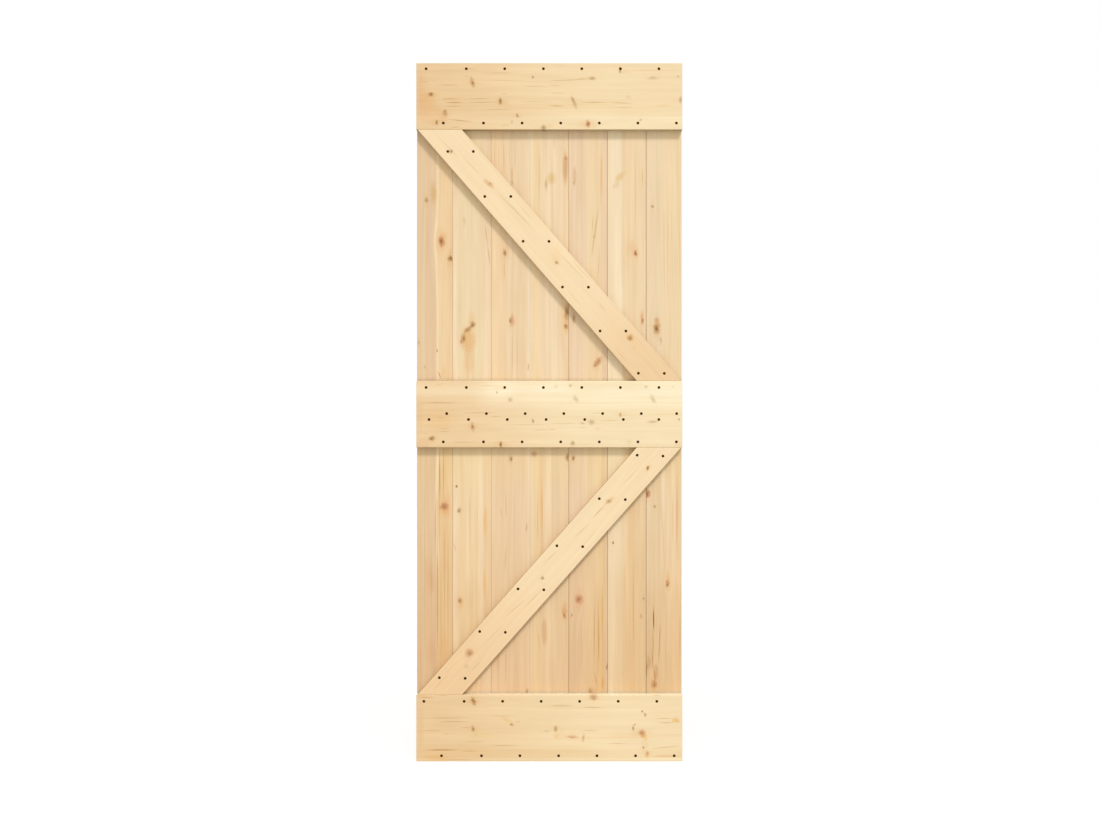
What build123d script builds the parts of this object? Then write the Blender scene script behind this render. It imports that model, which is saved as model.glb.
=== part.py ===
from build123d import *
import os

os.makedirs("parts", exist_ok=True)

# ---------------------------------------------------------------------------
# Sliding door leaf: tongue-and-groove boards, three rails and two diagonal
# braces screwed to the front of them.
# Frame: X across the width, Y through the thickness (front face at Y = 0,
# back at Y = +40), Z up.  The origin is the middle of the top rail's front
# face, where the two hangers of a sliding track are bolted on.
# ---------------------------------------------------------------------------

# ---- overall size (mm) ----
door_width = 800.0
door_height = 2100.0
hang_height = 2000.0            # hanger line above the bottom edge

# ---- thicknesses ----
rail_thickness = 20.0           # rails and braces
board_thickness = 20.0          # boards behind them

# ---- rails: lower edge above the door's bottom, and height ----
rail_height = 200.0
top_rail_foot = 1900.0
middle_rail_foot = 944.0
bottom_rail_foot = 0.0

# ---- braces ----
brace_inset = 4.0               # corner to the side of the door
brace_cut = 133.0               # length of the horizontal end cut
brace_gap = 0.3                 # end cut to the rail

# ---- boards ----
board_pitch = 117.1             # cover width of the five middle boards
joint_gap = 0.4                 # between two boards' shoulders
vee = 1.5                       # bevel of the V joint, front and back
side_ease = 1.0                 # bevel of the door's own side edges
tongue_length = 6.0
tongue_thickness = 6.0
groove_depth = 6.8
groove_width = 6.4

# ---- eased front arris of the rails and braces ----
arris = 1.5

# ---- countersunk screws, 4 x 35 ----
head_radius = 4.0
shank_radius = 2.0
head_sink = 0.3                 # head top below the wood
screw_length = 35.0
tip_length = 5.0
clear_radius = 2.1              # hole through the rail or brace
countersink_radius = 4.35       # at the wood's face
pilot_radius = 2.05             # hole in the board
pilot_depth = 15.6

# ---- derived heights ----
z_bottom = -hang_height
z_top = door_height - hang_height
y_boards = rail_thickness
y_back = rail_thickness + board_thickness

front = Plane.XZ                          # local x = X, local y = Z, normal -Y
board_face = Plane.XZ.offset(-y_boards)   # front of the boards

# ---- screw rows: (x, height above the bottom edge) ----
upper_xs = [-370.6, -249.7, -134.2, -17.8, 97.6, 213.7, 329.5]
lower_xs = [-318.8, -198.0, -81.9, 34.2, 150.3, 266.3, 382.1]
mid_second_xs = [-308.6, -189.2, -72.6, 43.5, 160.2, 276.5, 383.0]
mid_third_xs = [-361.8, -243.0, -126.4, -9.7, 106.4, 222.7, 329.2]
foot_upper_xs = [-377.2, -256.3, -140.5, -24.7, 91.0, 207.1, 323.2]
foot_lower_xs = [-324.3, -204.0, -88.5, 27.9, 143.3, 259.4, 375.5]


def row(xs, height):
    """Screw places of one straight row, as (x, z) in the door's frame."""
    return [(x, height - hang_height) for x in xs]


def places(pairs):
    """Screw places given one by one, as (x, z) in the door's frame."""
    return [(x, height - hang_height) for x, height in pairs]


top_upper = row(upper_xs, 2082.8)
top_lower = row(lower_xs, 1919.5)
mid_first = row(upper_xs, 1124.3)
mid_second = row(mid_second_xs, 1045.8)
mid_third = row(mid_third_xs, 1028.0)
mid_fourth = row(lower_xs, 960.7)
foot_upper = row(foot_upper_xs, 180.5)
foot_lower = row(foot_lower_xs, 16.8)
upper_left = places([(-305.3, 1834.0), (-194.0, 1698.7), (-78.9, 1564.0),
                     (39.6, 1426.3), (152.7, 1294.2), (267.8, 1167.0)])
upper_right = places([(-228.6, 1834.0), (-115.9, 1698.7), (-1.0, 1563.7),
                      (117.5, 1426.0), (230.2, 1294.0), (345.7, 1166.7)])
lower_left = places([(264.2, 920.7), (150.3, 789.8), (22.8, 648.2),
                     (-94.2, 518.5), (-209.4, 390.4), (-330.8, 251.7)])
lower_right = places([(341.8, 918.0), (228.4, 787.1), (100.3, 645.5),
                      (-16.6, 515.8), (-132.4, 388.0), (-253.0, 249.6)])

screw_rows = {
    "top_rail_upper_screws": top_upper,
    "top_rail_lower_screws": top_lower,
    "middle_rail_first_screws": mid_first,
    "middle_rail_second_screws": mid_second,
    "middle_rail_third_screws": mid_third,
    "middle_rail_fourth_screws": mid_fourth,
    "bottom_rail_upper_screws": foot_upper,
    "bottom_rail_lower_screws": foot_lower,
    "upper_brace_left_screws": upper_left,
    "upper_brace_right_screws": upper_right,
    "lower_brace_left_screws": lower_left,
    "lower_brace_right_screws": lower_right,
}
all_screws = [place for line in screw_rows.values() for place in line]

# ---------------------------------------------------------------------------
# Boards: seven, tongue on the right edge, groove on the left edge.  The two
# outer boards have a plain, eased edge on the side of the door.
# ---------------------------------------------------------------------------
seams = [board_pitch * (i - 2.5) for i in range(6)]
lefts = [-door_width / 2] + seams
rights = seams + [door_width / 2]
y_mid = y_boards + board_thickness / 2

for i in range(7):
    plain_left = i == 0
    plain_right = i == 6
    x0 = lefts[i] + (0 if plain_left else joint_gap / 2)
    x1 = rights[i] - (0 if plain_right else joint_gap / 2)
    e0 = side_ease if plain_left else vee
    e1 = side_ease if plain_right else vee
    # section, from the front left arris along the front, right edge, back
    section = [(x0 + e0, y_boards), (x1 - e1, y_boards), (x1, y_boards + e1)]
    if not plain_right:
        half = tongue_thickness / 2
        section += [(x1, y_mid - half),
                    (x1 + tongue_length - 0.8, y_mid - half),
                    (x1 + tongue_length, y_mid - half + 0.8),
                    (x1 + tongue_length, y_mid + half - 0.8),
                    (x1 + tongue_length - 0.8, y_mid + half),
                    (x1, y_mid + half)]
    section += [(x1, y_back - e1), (x1 - e1, y_back), (x0 + e0, y_back),
                (x0, y_back - e0)]
    if not plain_left:
        half = groove_width / 2
        section += [(x0, y_mid + half),
                    (x0 + groove_depth, y_mid + half),
                    (x0 + groove_depth, y_mid - half),
                    (x0, y_mid - half)]
    section += [(x0, y_boards + e0)]
    mine = [p for p in all_screws if lefts[i] < p[0] < rights[i]]
    with BuildPart() as board:
        with BuildSketch(Plane.XY.offset(z_bottom)):
            with BuildLine():
                Polyline(*section, close=True)
            make_face()
        extrude(amount=door_height)
        with Locations(board_face):
            with Locations(*mine):
                Hole(radius=pilot_radius, depth=pilot_depth)
    name = f"board_{i + 1}"
    board.part.label = name
    export_step(board.part, f"parts/{name}.step")

# ---------------------------------------------------------------------------
# Rails: three level planks over the full width, front arrises eased,
# countersunk holes for the screws.
# ---------------------------------------------------------------------------
with BuildPart() as top_rail:
    with BuildSketch(front):
        with Locations((0, z_bottom + top_rail_foot + rail_height / 2)):
            Rectangle(door_width, rail_height)
    extrude(amount=-rail_thickness)
    fillet(top_rail.faces().sort_by(Axis.Y)[0].edges(), arris)
    with Locations(front):
        with Locations(*top_upper, *top_lower):
            CounterSinkHole(clear_radius, countersink_radius, rail_thickness, 90)
top_rail.part.label = "top_rail"
export_step(top_rail.part, "parts/top_rail.step")

with BuildPart() as middle_rail:
    with BuildSketch(front):
        with Locations((0, z_bottom + middle_rail_foot + rail_height / 2)):
            Rectangle(door_width, rail_height)
    extrude(amount=-rail_thickness)
    fillet(middle_rail.faces().sort_by(Axis.Y)[0].edges(), arris)
    with Locations(front):
        with Locations(*mid_first, *mid_second, *mid_third, *mid_fourth):
            CounterSinkHole(clear_radius, countersink_radius, rail_thickness, 90)
middle_rail.part.label = "middle_rail"
export_step(middle_rail.part, "parts/middle_rail.step")

with BuildPart() as bottom_rail:
    with BuildSketch(front):
        with Locations((0, z_bottom + bottom_rail_foot + rail_height / 2)):
            Rectangle(door_width, rail_height)
    extrude(amount=-rail_thickness)
    fillet(bottom_rail.faces().sort_by(Axis.Y)[0].edges(), arris)
    with Locations(front):
        with Locations(*foot_upper, *foot_lower):
            CounterSinkHole(clear_radius, countersink_radius, rail_thickness, 90)
bottom_rail.part.label = "bottom_rail"
export_step(bottom_rail.part, "parts/bottom_rail.step")

# ---------------------------------------------------------------------------
# Braces: the upper one falls from the top left to the right end of the
# middle rail, the lower one from there to the bottom left.
# ---------------------------------------------------------------------------
side = door_width / 2 - brace_inset

with BuildPart() as upper_brace:
    head = z_bottom + top_rail_foot - brace_gap
    foot = z_bottom + middle_rail_foot + rail_height + brace_gap
    with BuildSketch(front):
        with BuildLine():
            Polyline((-side, head), (-side + brace_cut, head),
                     (side, foot), (side - brace_cut, foot), close=True)
        make_face()
    extrude(amount=-rail_thickness)
    fillet(upper_brace.faces().sort_by(Axis.Y)[0].edges(), arris)
    with Locations(front):
        with Locations(*upper_left, *upper_right):
            CounterSinkHole(clear_radius, countersink_radius, rail_thickness, 90)
upper_brace.part.label = "upper_brace"
export_step(upper_brace.part, "parts/upper_brace.step")

with BuildPart() as lower_brace:
    head = z_bottom + middle_rail_foot - brace_gap
    foot = z_bottom + bottom_rail_foot + rail_height + brace_gap
    with BuildSketch(front):
        with BuildLine():
            Polyline((side, head), (side - brace_cut, head),
                     (-side, foot), (-side + brace_cut, foot), close=True)
        make_face()
    extrude(amount=-rail_thickness)
    fillet(lower_brace.faces().sort_by(Axis.Y)[0].edges(), arris)
    with Locations(front):
        with Locations(*lower_left, *lower_right):
            CounterSinkHole(clear_radius, countersink_radius, rail_thickness, 90)
lower_brace.part.label = "lower_brace"
export_step(lower_brace.part, "parts/lower_brace.step")

# ---------------------------------------------------------------------------
# Screws: one countersunk shape, turned about the Y axis, repeated along each
# row.  The heads lie just below the wood's face.
# ---------------------------------------------------------------------------
cone_end = head_sink + head_radius - shank_radius
with BuildPart() as screw:
    with BuildSketch(Plane.XY):
        with BuildLine():
            Polyline((0, head_sink), (head_radius, head_sink),
                     (shank_radius, cone_end),
                     (shank_radius, head_sink + screw_length - tip_length),
                     (0.3, head_sink + screw_length),
                     (0, head_sink + screw_length), close=True)
        make_face()
    revolve(axis=Axis.Y)

for name, line in screw_rows.items():
    with BuildPart() as screws:
        with Locations(*[(x, 0, z) for x, z in line]):
            add(screw.part)
    screws.part.label = name
    export_step(screws.part, f"parts/{name}.step")
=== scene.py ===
import math
import bpy
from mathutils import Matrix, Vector, geometry, noise as mnoise


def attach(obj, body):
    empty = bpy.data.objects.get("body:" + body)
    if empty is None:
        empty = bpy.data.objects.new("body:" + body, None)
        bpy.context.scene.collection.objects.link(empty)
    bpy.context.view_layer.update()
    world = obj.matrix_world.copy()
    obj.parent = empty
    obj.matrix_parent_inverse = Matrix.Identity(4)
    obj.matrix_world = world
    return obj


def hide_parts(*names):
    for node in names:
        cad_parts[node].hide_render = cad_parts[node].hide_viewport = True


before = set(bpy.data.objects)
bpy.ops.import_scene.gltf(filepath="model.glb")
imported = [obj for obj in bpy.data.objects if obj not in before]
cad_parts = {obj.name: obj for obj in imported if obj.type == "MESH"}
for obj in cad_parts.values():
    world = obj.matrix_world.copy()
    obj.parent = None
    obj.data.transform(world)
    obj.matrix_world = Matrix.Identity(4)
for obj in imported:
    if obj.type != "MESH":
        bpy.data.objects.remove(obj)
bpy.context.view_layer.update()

# ---------------------------------------------------------------------------
# Sizes, in millimetres.  x runs to the right, z is the height above the
# door's bottom edge, y runs from the rails' front face (0) to the back (40).
# ---------------------------------------------------------------------------
HANG = 2000.0
WIDTH, HEIGHT = 800.0, 2100.0
RAIL_T, BOARD_T = 20.0, 20.0
BACK = RAIL_T + BOARD_T
PITCH = 117.1
SEAMS = [PITCH * (i - 2.5) for i in range(6)]
LEFTS = [-WIDTH / 2] + SEAMS
RIGHTS = SEAMS + [WIDTH / 2]

RAILS = {"top_rail": (1900.0, 2100.0), "middle_rail": (944.0, 1144.0),
         "bottom_rail": (0.0, 200.0)}
SIDE, CUT, GAP = 396.0, 133.0, 0.3
# each brace: the two ends of its left edge, lower end first
BRACES = {"upper_brace": ((SIDE - CUT, 1144.0 + GAP), (-SIDE, 1900.0 - GAP)),
          "lower_brace": ((-SIDE, 200.0 + GAP), (SIDE - CUT, 944.0 - GAP))}

UPPER = [-370.6, -249.7, -134.2, -17.8, 97.6, 213.7, 329.5]
LOWER = [-318.8, -198.0, -81.9, 34.2, 150.3, 266.3, 382.1]
ROWS = {
    "top_rail_upper_screws": [(x, 2082.8) for x in UPPER],
    "top_rail_lower_screws": [(x, 1919.5) for x in LOWER],
    "middle_rail_first_screws": [(x, 1124.3) for x in UPPER],
    "middle_rail_second_screws": [(x, 1045.8) for x in (-308.6, -189.2, -72.6, 43.5, 160.2, 276.5, 383.0)],
    "middle_rail_third_screws": [(x, 1028.0) for x in (-361.8, -243.0, -126.4, -9.7, 106.4, 222.7, 329.2)],
    "middle_rail_fourth_screws": [(x, 960.7) for x in LOWER],
    "bottom_rail_upper_screws": [(x, 180.5) for x in (-377.2, -256.3, -140.5, -24.7, 91.0, 207.1, 323.2)],
    "bottom_rail_lower_screws": [(x, 16.8) for x in (-324.3, -204.0, -88.5, 27.9, 143.3, 259.4, 375.5)],
    "upper_brace_left_screws": [(-305.3, 1834.0), (-194.0, 1698.7), (-78.9, 1564.0),
                                (39.6, 1426.3), (152.7, 1294.2), (267.8, 1167.0)],
    "upper_brace_right_screws": [(-228.6, 1834.0), (-115.9, 1698.7), (-1.0, 1563.7),
                                 (117.5, 1426.0), (230.2, 1294.0), (345.7, 1166.7)],
    "lower_brace_left_screws": [(264.2, 920.7), (150.3, 789.8), (22.8, 648.2),
                                (-94.2, 518.5), (-209.4, 390.4), (-330.8, 251.7)],
    "lower_brace_right_screws": [(341.8, 918.0), (228.4, 787.1), (100.3, 645.5),
                                 (-16.6, 515.8), (-132.4, 388.0), (-253.0, 249.6)],
}


def metres(x, y, z):
    """A point given in the door's millimetres, in the frame's metres."""
    return (x / 1000.0, y / 1000.0, (z - HANG) / 1000.0)


# ---------------------------------------------------------------------------
# Camera, light and floor
# ---------------------------------------------------------------------------
scene = bpy.context.scene
scene.view_settings.view_transform = "Standard"
scene.view_settings.look = "None"

cam_data = bpy.data.cameras.new("camera")
cam_data.sensor_fit = "HORIZONTAL"
cam_data.sensor_width = 36.0
cam_data.lens = 36.0 * 3.54 / 3.3077
camera = bpy.data.objects.new("camera", cam_data)
camera.location = metres(2.0, -3540.0, 1050.6)
camera.rotation_euler = (math.pi / 2, 0.0, 0.0)
scene.collection.objects.link(camera)
scene.camera = camera

world = bpy.data.worlds.new("studio")
scene.world = world
world.use_nodes = True
wt = world.node_tree
wt.nodes.clear()
w_out = wt.nodes.new("ShaderNodeOutputWorld")
w_soft = wt.nodes.new("ShaderNodeBackground")
w_seen = wt.nodes.new("ShaderNodeBackground")
w_mix = wt.nodes.new("ShaderNodeMixShader")
w_path = wt.nodes.new("ShaderNodeLightPath")
w_place = wt.nodes.new("ShaderNodeTexCoord")
w_split = wt.nodes.new("ShaderNodeSeparateXYZ")
w_fall = wt.nodes.new("ShaderNodeMapRange")
w_rise = wt.nodes.new("ShaderNodeMath")
w_level = wt.nodes.new("ShaderNodeMath")
w_fall.interpolation_type = "SMOOTHSTEP"
for socket, value in zip(w_fall.inputs[1:], (0.2, -0.9, 0.248, 0.917)):
    socket.default_value = value
w_rise.operation = "MULTIPLY_ADD"
w_rise.inputs[1].default_value = 0.25
w_rise.inputs[2].default_value = 1.0
w_level.operation = "MULTIPLY"
wt.links.new(w_place.outputs["Generated"], w_split.inputs[0])
wt.links.new(w_split.outputs["Y"], w_fall.inputs[0])
wt.links.new(w_split.outputs["Z"], w_rise.inputs[0])
wt.links.new(w_fall.outputs[0], w_level.inputs[0])
wt.links.new(w_rise.outputs[0], w_level.inputs[1])
wt.links.new(w_level.outputs[0], w_soft.inputs["Strength"])
w_soft.inputs["Color"].default_value = (1.0, 1.0, 0.945, 1.0)
w_seen.inputs["Color"].default_value = (1.0, 1.0, 1.0, 1.0)
w_seen.inputs["Strength"].default_value = 1.0
wt.links.new(w_path.outputs["Is Camera Ray"], w_mix.inputs[0])
wt.links.new(w_soft.outputs[0], w_mix.inputs[1])
wt.links.new(w_seen.outputs[0], w_mix.inputs[2])
wt.links.new(w_mix.outputs[0], w_out.inputs[0])

door_light = bpy.data.collections.new("door_light")
floor_light = bpy.data.collections.new("floor_light")
scene.collection.children.link(door_light)
scene.collection.children.link(floor_light)


def sun(name, towards, strength, angle, colour=(1.0, 1.0, 1.0)):
    """A broad far light shining from the direction towards it."""
    data = bpy.data.lights.new(name, "SUN")
    data.energy = strength
    data.angle = angle
    data.color = colour
    ob = bpy.data.objects.new(name, data)
    ob.rotation_euler = Vector(towards).to_track_quat("Z", "Y").to_euler()
    scene.collection.objects.link(ob)
    return ob


key = sun("key", (0.46, -1.0, 1.31), 1.88, 0.20, (1.0, 0.985, 1.03))
rear = sun("rear", (-0.6, 1.0, 0.9), 2.4, 0.6)
wash = sun("floor_wash", (0.0, 0.0, 1.0), 2.26, 0.5, (1.0, 1.0, 1.04))
key.light_linking.receiver_collection = door_light
rear.light_linking.receiver_collection = door_light
wash.light_linking.receiver_collection = floor_light
wash.light_linking.blocker_collection = floor_light

floor_mesh = bpy.data.meshes.new("floor")
floor_mesh.from_pydata([metres(-9000, -9000, 0), metres(9000, -9000, 0),
                        metres(9000, 9000, 0), metres(-9000, 9000, 0)], [], [(0, 1, 2, 3)])
floor = bpy.data.objects.new("floor", floor_mesh)
floor.location.z = -0.0006
floor.visible_diffuse = False
scene.collection.objects.link(floor)
floor_light.objects.link(floor)
floor_mat = bpy.data.materials.new("floor_white")
floor_mat.use_nodes = True
floor_mat.node_tree.nodes["Principled BSDF"].inputs["Base Color"].default_value = (0.86, 0.86, 0.86, 1.0)
floor_mat.node_tree.nodes["Principled BSDF"].inputs["Roughness"].default_value = 0.9
floor_mesh.materials.append(floor_mat)


# ---------------------------------------------------------------------------
# Node building
# ---------------------------------------------------------------------------
class Net:
    """Short names for the nodes that the wood needs."""

    def __init__(self, tree):
        self.tree, self.nodes, self.links = tree, tree.nodes, tree.links

    def put(self, socket, value):
        if value is None:
            return
        if isinstance(value, bpy.types.NodeSocket):
            self.links.new(value, socket)
        elif isinstance(value, (tuple, list)) and socket.type == "RGBA" and len(value) == 3:
            socket.default_value = (*value, 1.0)
        else:
            socket.default_value = value

    def math(self, op, a, b=None, c=None, clamp=False):
        n = self.nodes.new("ShaderNodeMath")
        n.operation, n.use_clamp = op, clamp
        for s, v in zip(n.inputs, (a, b, c)):
            self.put(s, v)
        return n.outputs[0]

    def add(self, a, b):
        return self.math("ADD", a, b)

    def sub(self, a, b):
        return self.math("SUBTRACT", a, b)

    def mul(self, a, b):
        return self.math("MULTIPLY", a, b)

    def mad(self, a, b, c):
        return self.math("MULTIPLY_ADD", a, b, c)

    def step(self, x, lo, hi, out_lo=0.0, out_hi=1.0):
        """Smooth step of x from lo to hi."""
        n = self.nodes.new("ShaderNodeMapRange")
        n.interpolation_type = "SMOOTHSTEP"
        for s, v in zip(n.inputs, (x, lo, hi, out_lo, out_hi)):
            self.put(s, v)
        return n.outputs[0]

    def vec(self, x, y, z):
        n = self.nodes.new("ShaderNodeCombineXYZ")
        for s, v in zip(n.inputs, (x, y, z)):
            self.put(s, v)
        return n.outputs[0]

    def vmath(self, op, a, b=None, scale=None):
        n = self.nodes.new("ShaderNodeVectorMath")
        n.operation = op
        self.put(n.inputs[0], a)
        if b is not None:
            self.put(n.inputs[1], b)
        if scale is not None:
            self.put(n.inputs["Scale"], scale)
        return n.outputs["Value"] if op in ("DOT_PRODUCT", "LENGTH") else n.outputs["Vector"]

    def noise(self, vector, detail=1.0, rough=0.5):
        n = self.nodes.new("ShaderNodeTexNoise")
        n.noise_dimensions = "3D"
        self.put(n.inputs["Vector"], vector)
        n.inputs["Scale"].default_value = 1.0
        n.inputs["Detail"].default_value = detail
        n.inputs["Roughness"].default_value = rough
        return n

    def noise1(self, w, detail=1.0):
        n = self.nodes.new("ShaderNodeTexNoise")
        n.noise_dimensions = "1D"
        self.put(n.inputs["W"], w)
        n.inputs["Scale"].default_value = 1.0
        n.inputs["Detail"].default_value = detail
        return n.outputs["Fac"]

    def white(self, w):
        n = self.nodes.new("ShaderNodeTexWhiteNoise")
        n.noise_dimensions = "1D"
        self.put(n.inputs["W"], w)
        return n.outputs["Value"]

    def mix(self, fac, a, b, blend="MIX"):
        n = self.nodes.new("ShaderNodeMix")
        n.data_type, n.blend_type = "RGBA", blend
        n.clamp_factor = True
        self.put(n.inputs[0], fac)
        self.put(n.inputs[6], a)
        self.put(n.inputs[7], b)
        return n.outputs[2]

    def group(self, tree, **values):
        n = self.nodes.new("ShaderNodeGroup")
        n.node_tree = tree
        for k, v in values.items():
            self.put(n.inputs[k], v)
        return n


def new_group(name, inputs, outputs):
    """An empty node group with its sockets; returns it, its net and its ends."""
    g = bpy.data.node_groups.new(name, "ShaderNodeTree")
    kinds = {"f": "NodeSocketFloat", "c": "NodeSocketColor", "v": "NodeSocketVector"}
    for label, kind in inputs:
        g.interface.new_socket(label, in_out="INPUT", socket_type=kinds[kind])
    for label, kind in outputs:
        g.interface.new_socket(label, in_out="OUTPUT", socket_type=kinds[kind])
    gi = g.nodes.new("NodeGroupInput")
    go = g.nodes.new("NodeGroupOutput")
    return g, Net(g), gi.outputs, go.inputs


# ---------------------------------------------------------------------------
# Pine: growth rings about a pith line, seen through any cut of the board.
# U runs along the grain, V across it, W through the thickness, all in mm.
# ---------------------------------------------------------------------------
def make_pine():
    g, n, i, o = new_group(
        "pine_wood",
        [("U", "f"), ("V", "f"), ("W", "f"), ("Flow", "f"), ("Bulge", "f"), ("Seed", "f"),
         ("PithV", "f"), ("PithW", "f"), ("Spacing", "f"), ("Taper", "f"), ("Wander", "f"),
         ("Band", "f"), ("ToneAmount", "f"), ("LateAmount", "f"), ("FibreAmount", "f"),
         ("Pale", "c"), ("Tan", "c"), ("Late", "c")],
        [("Color", "c"), ("Height", "f"), ("Roughness", "f"), ("Grain", "f")])
    U, V, W = i["U"], i["V"], i["W"]
    seed = n.vec(n.mul(i["Seed"], 13.7), n.mul(i["Seed"], 5.3), n.mul(i["Seed"], 9.1))
    # the pith line wanders along the length, and the grain is a little wavy
    slow = n.noise(n.vmath("ADD", n.vec(n.mul(V, 1 / 160), n.mul(W, 1 / 160), n.mul(U, 1 / 750)), seed), 1.0)
    sep = n.nodes.new("ShaderNodeSeparateColor")
    n.links.new(slow.outputs["Color"], sep.inputs[0])
    shift_v = n.mul(n.sub(sep.outputs[0], 0.5), n.mul(i["Wander"], 2.0))
    shift_w = n.mul(n.sub(sep.outputs[1], 0.5), n.mul(i["Wander"], 2.0))
    wavy = n.noise(n.vmath("ADD", n.vec(n.mul(V, 1 / 26), n.mul(W, 1 / 26), n.mul(U, 1 / 230)), seed), 1.0)
    wave = n.mul(n.sub(wavy.outputs["Fac"], 0.5), 3.0)
    grain = n.add(n.mad(wave, 0.35, V), i["Flow"])
    v2 = n.add(n.add(grain, n.mul(wave, 0.65)), shift_v)
    w2 = n.add(W, shift_w)
    a = n.sub(v2, i["PithV"])
    b = n.sub(w2, i["PithW"])
    r = n.math("SQRT", n.add(n.mul(a, a), n.mul(b, b)))
    r = n.add(n.add(r, n.mul(n.mul(i["Taper"], U), 0.001)), i["Bulge"])
    # rings: slow rise through the early wood, sharp end of the late wood
    t = n.math("DIVIDE", r, i["Spacing"])
    t = n.mad(n.noise1(n.mad(t, 0.23, n.mul(i["Seed"], 3.3)), 1.0), 2.2, t)
    f = n.math("FRACT", t)
    ring = n.white(n.mad(i["Seed"], 31.0, n.math("FLOOR", t)))
    late = n.mul(n.step(f, 0.30, 0.92), n.step(f, 0.93, 1.0, 1.0, 0.0))
    late = n.mul(late, n.mad(n.math("POWER", ring, 4.0), 0.92, 0.08))
    clear = n.noise(n.vmath("ADD", n.vec(n.mul(V, 1 / 30), n.mul(W, 1 / 30), n.mul(U, 1 / 260)), seed), 1.0)
    late = n.mul(late, n.step(clear.outputs["Fac"], 0.42, 0.64, 0.15, 1.0))
    # groups of rings that differ in tone, and patches drawn out along the grain
    jig = n.noise(n.vmath("ADD", n.vec(n.mul(V, 1 / 45), n.mul(W, 1 / 45), n.mul(U, 1 / 420)), seed), 1.0)
    soft = n.noise1(n.mad(i["Seed"], 7.7, n.mad(jig.outputs["Fac"], 1.6, n.math("DIVIDE", r, i["Band"]))), 2.0)
    soft = n.step(soft, 0.28, 0.72)
    patch = n.noise(n.vmath("ADD", n.vec(n.mul(v2, 1 / 32), n.mul(W, 1 / 32), n.mul(U, 1 / 210)), seed), 2.0, 0.5)
    patch = n.step(patch.outputs["Fac"], 0.30, 0.70)
    tone = n.add(n.mul(soft, 0.5), n.mul(patch, 0.5))
    # fibres and short streaks
    fine = n.noise(n.vmath("ADD", n.vec(n.mul(v2, 1 / 1.1), n.mul(w2, 1 / 1.1), n.mul(U, 1 / 85)), seed), 2.0, 0.6)
    streak = n.noise(n.vmath("ADD", n.vec(n.mul(v2, 1 / 9.5), n.mul(w2, 1 / 9.5), n.mul(U, 1 / 300)), seed), 2.0, 0.5)
    colour = n.mix(n.mul(tone, i["ToneAmount"]), i["Pale"], i["Tan"])
    colour = n.mix(n.mul(late, i["LateAmount"]), colour, i["Late"])
    grey = n.add(n.mul(n.sub(fine.outputs["Fac"], 0.5), i["FibreAmount"]),
                 n.mul(n.sub(streak.outputs["Fac"], 0.5), n.mul(i["FibreAmount"], 1.3)))
    colour = n.vmath("SCALE", colour, scale=n.add(grey, 1.0))
    n.links.new(colour, o["Color"])
    n.links.new(n.add(n.mul(late, 0.7), n.mul(fine.outputs["Fac"], 0.5)), o["Height"])
    n.links.new(n.add(n.mad(late, -0.10, 0.60), n.mul(n.sub(fine.outputs["Fac"], 0.5), 0.16)), o["Roughness"])
    n.links.new(grain, o["Grain"])
    return g


def make_knot_flow():
    """The grain swings round a knot, and the rings bulge along it."""
    g, n, i, o = new_group(
        "knot_flow",
        [("U", "f"), ("V", "f"), ("U0", "f"), ("V0", "f"), ("R", "f"), ("Flow", "f"), ("Bulge", "f")],
        [("Flow", "f"), ("Bulge", "f")])
    dv = n.sub(i["V"], i["V0"])
    du = n.mul(n.sub(i["U"], i["U0"]), 1 / 2.6)
    rho = n.add(n.mul(dv, dv), n.mul(du, du))
    rr = n.mul(i["R"], i["R"])
    share = n.math("DIVIDE", rr, n.math("MAXIMUM", rho, rr))
    n.links.new(n.sub(i["Flow"], n.mul(n.mul(dv, share), 0.9)), o["Flow"])
    near = n.math("EXPONENT", n.mul(n.math("DIVIDE", rho, rr), -0.16))
    n.links.new(n.add(i["Bulge"], n.mul(near, n.mul(i["R"], 0.8))), o["Bulge"])
    return g


def make_knot():
    """A branch cut across: a core with its own rings, a dark rim, stained wood round it."""
    g, n, i, o = new_group(
        "knot_paint",
        [("Color", "c"), ("Place", "v"), ("Rough", "f"), ("E1", "v"), ("E2", "v"), ("H1", "v"), ("H2", "v"),
         ("Core", "f"), ("Rim", "f"), ("Halo", "f"), ("Soft", "f"), ("HaloTint", "c"), ("Light", "c"), ("Dark", "c")],
        [("Color", "c")])
    jag = n.mul(n.sub(i["Rough"], 0.5), 0.75)
    d = n.vmath("LENGTH", n.vec(n.vmath("DOT_PRODUCT", i["Place"], i["E1"]),
                                n.vmath("DOT_PRODUCT", i["Place"], i["E2"]), 0.0))
    d = n.add(d, jag)
    h = n.vmath("LENGTH", n.vec(n.vmath("DOT_PRODUCT", i["Place"], i["H1"]),
                                n.vmath("DOT_PRODUCT", i["Place"], i["H2"]), 0.0))
    c = n.mix(n.mul(n.step(n.add(h, jag), 0.2, 1.1, 1.0, 0.0), i["Halo"]), i["Color"],
              n.vmath("MULTIPLY", i["Color"], i["HaloTint"]))
    edge = n.step(d, n.sub(1.05, i["Soft"]), n.add(1.05, i["Soft"]), 1.0, 0.0)
    c = n.mix(n.mul(edge, i["Core"]), c, i["Light"])
    heart = n.step(n.mad(n.math("SINE", n.mul(d, 15.0)), 0.07, d), 0.15, 0.92, 1.0, 0.0)
    c = n.mix(n.mul(heart, i["Core"]), c, i["Dark"])
    rim = n.step(n.math("ABSOLUTE", n.sub(d, 1.0)), 0.0, 0.22, 1.0, 0.0)
    c = n.mix(n.mul(rim, i["Rim"]), c, i["Dark"])
    n.links.new(c, o["Color"])
    return g


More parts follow.
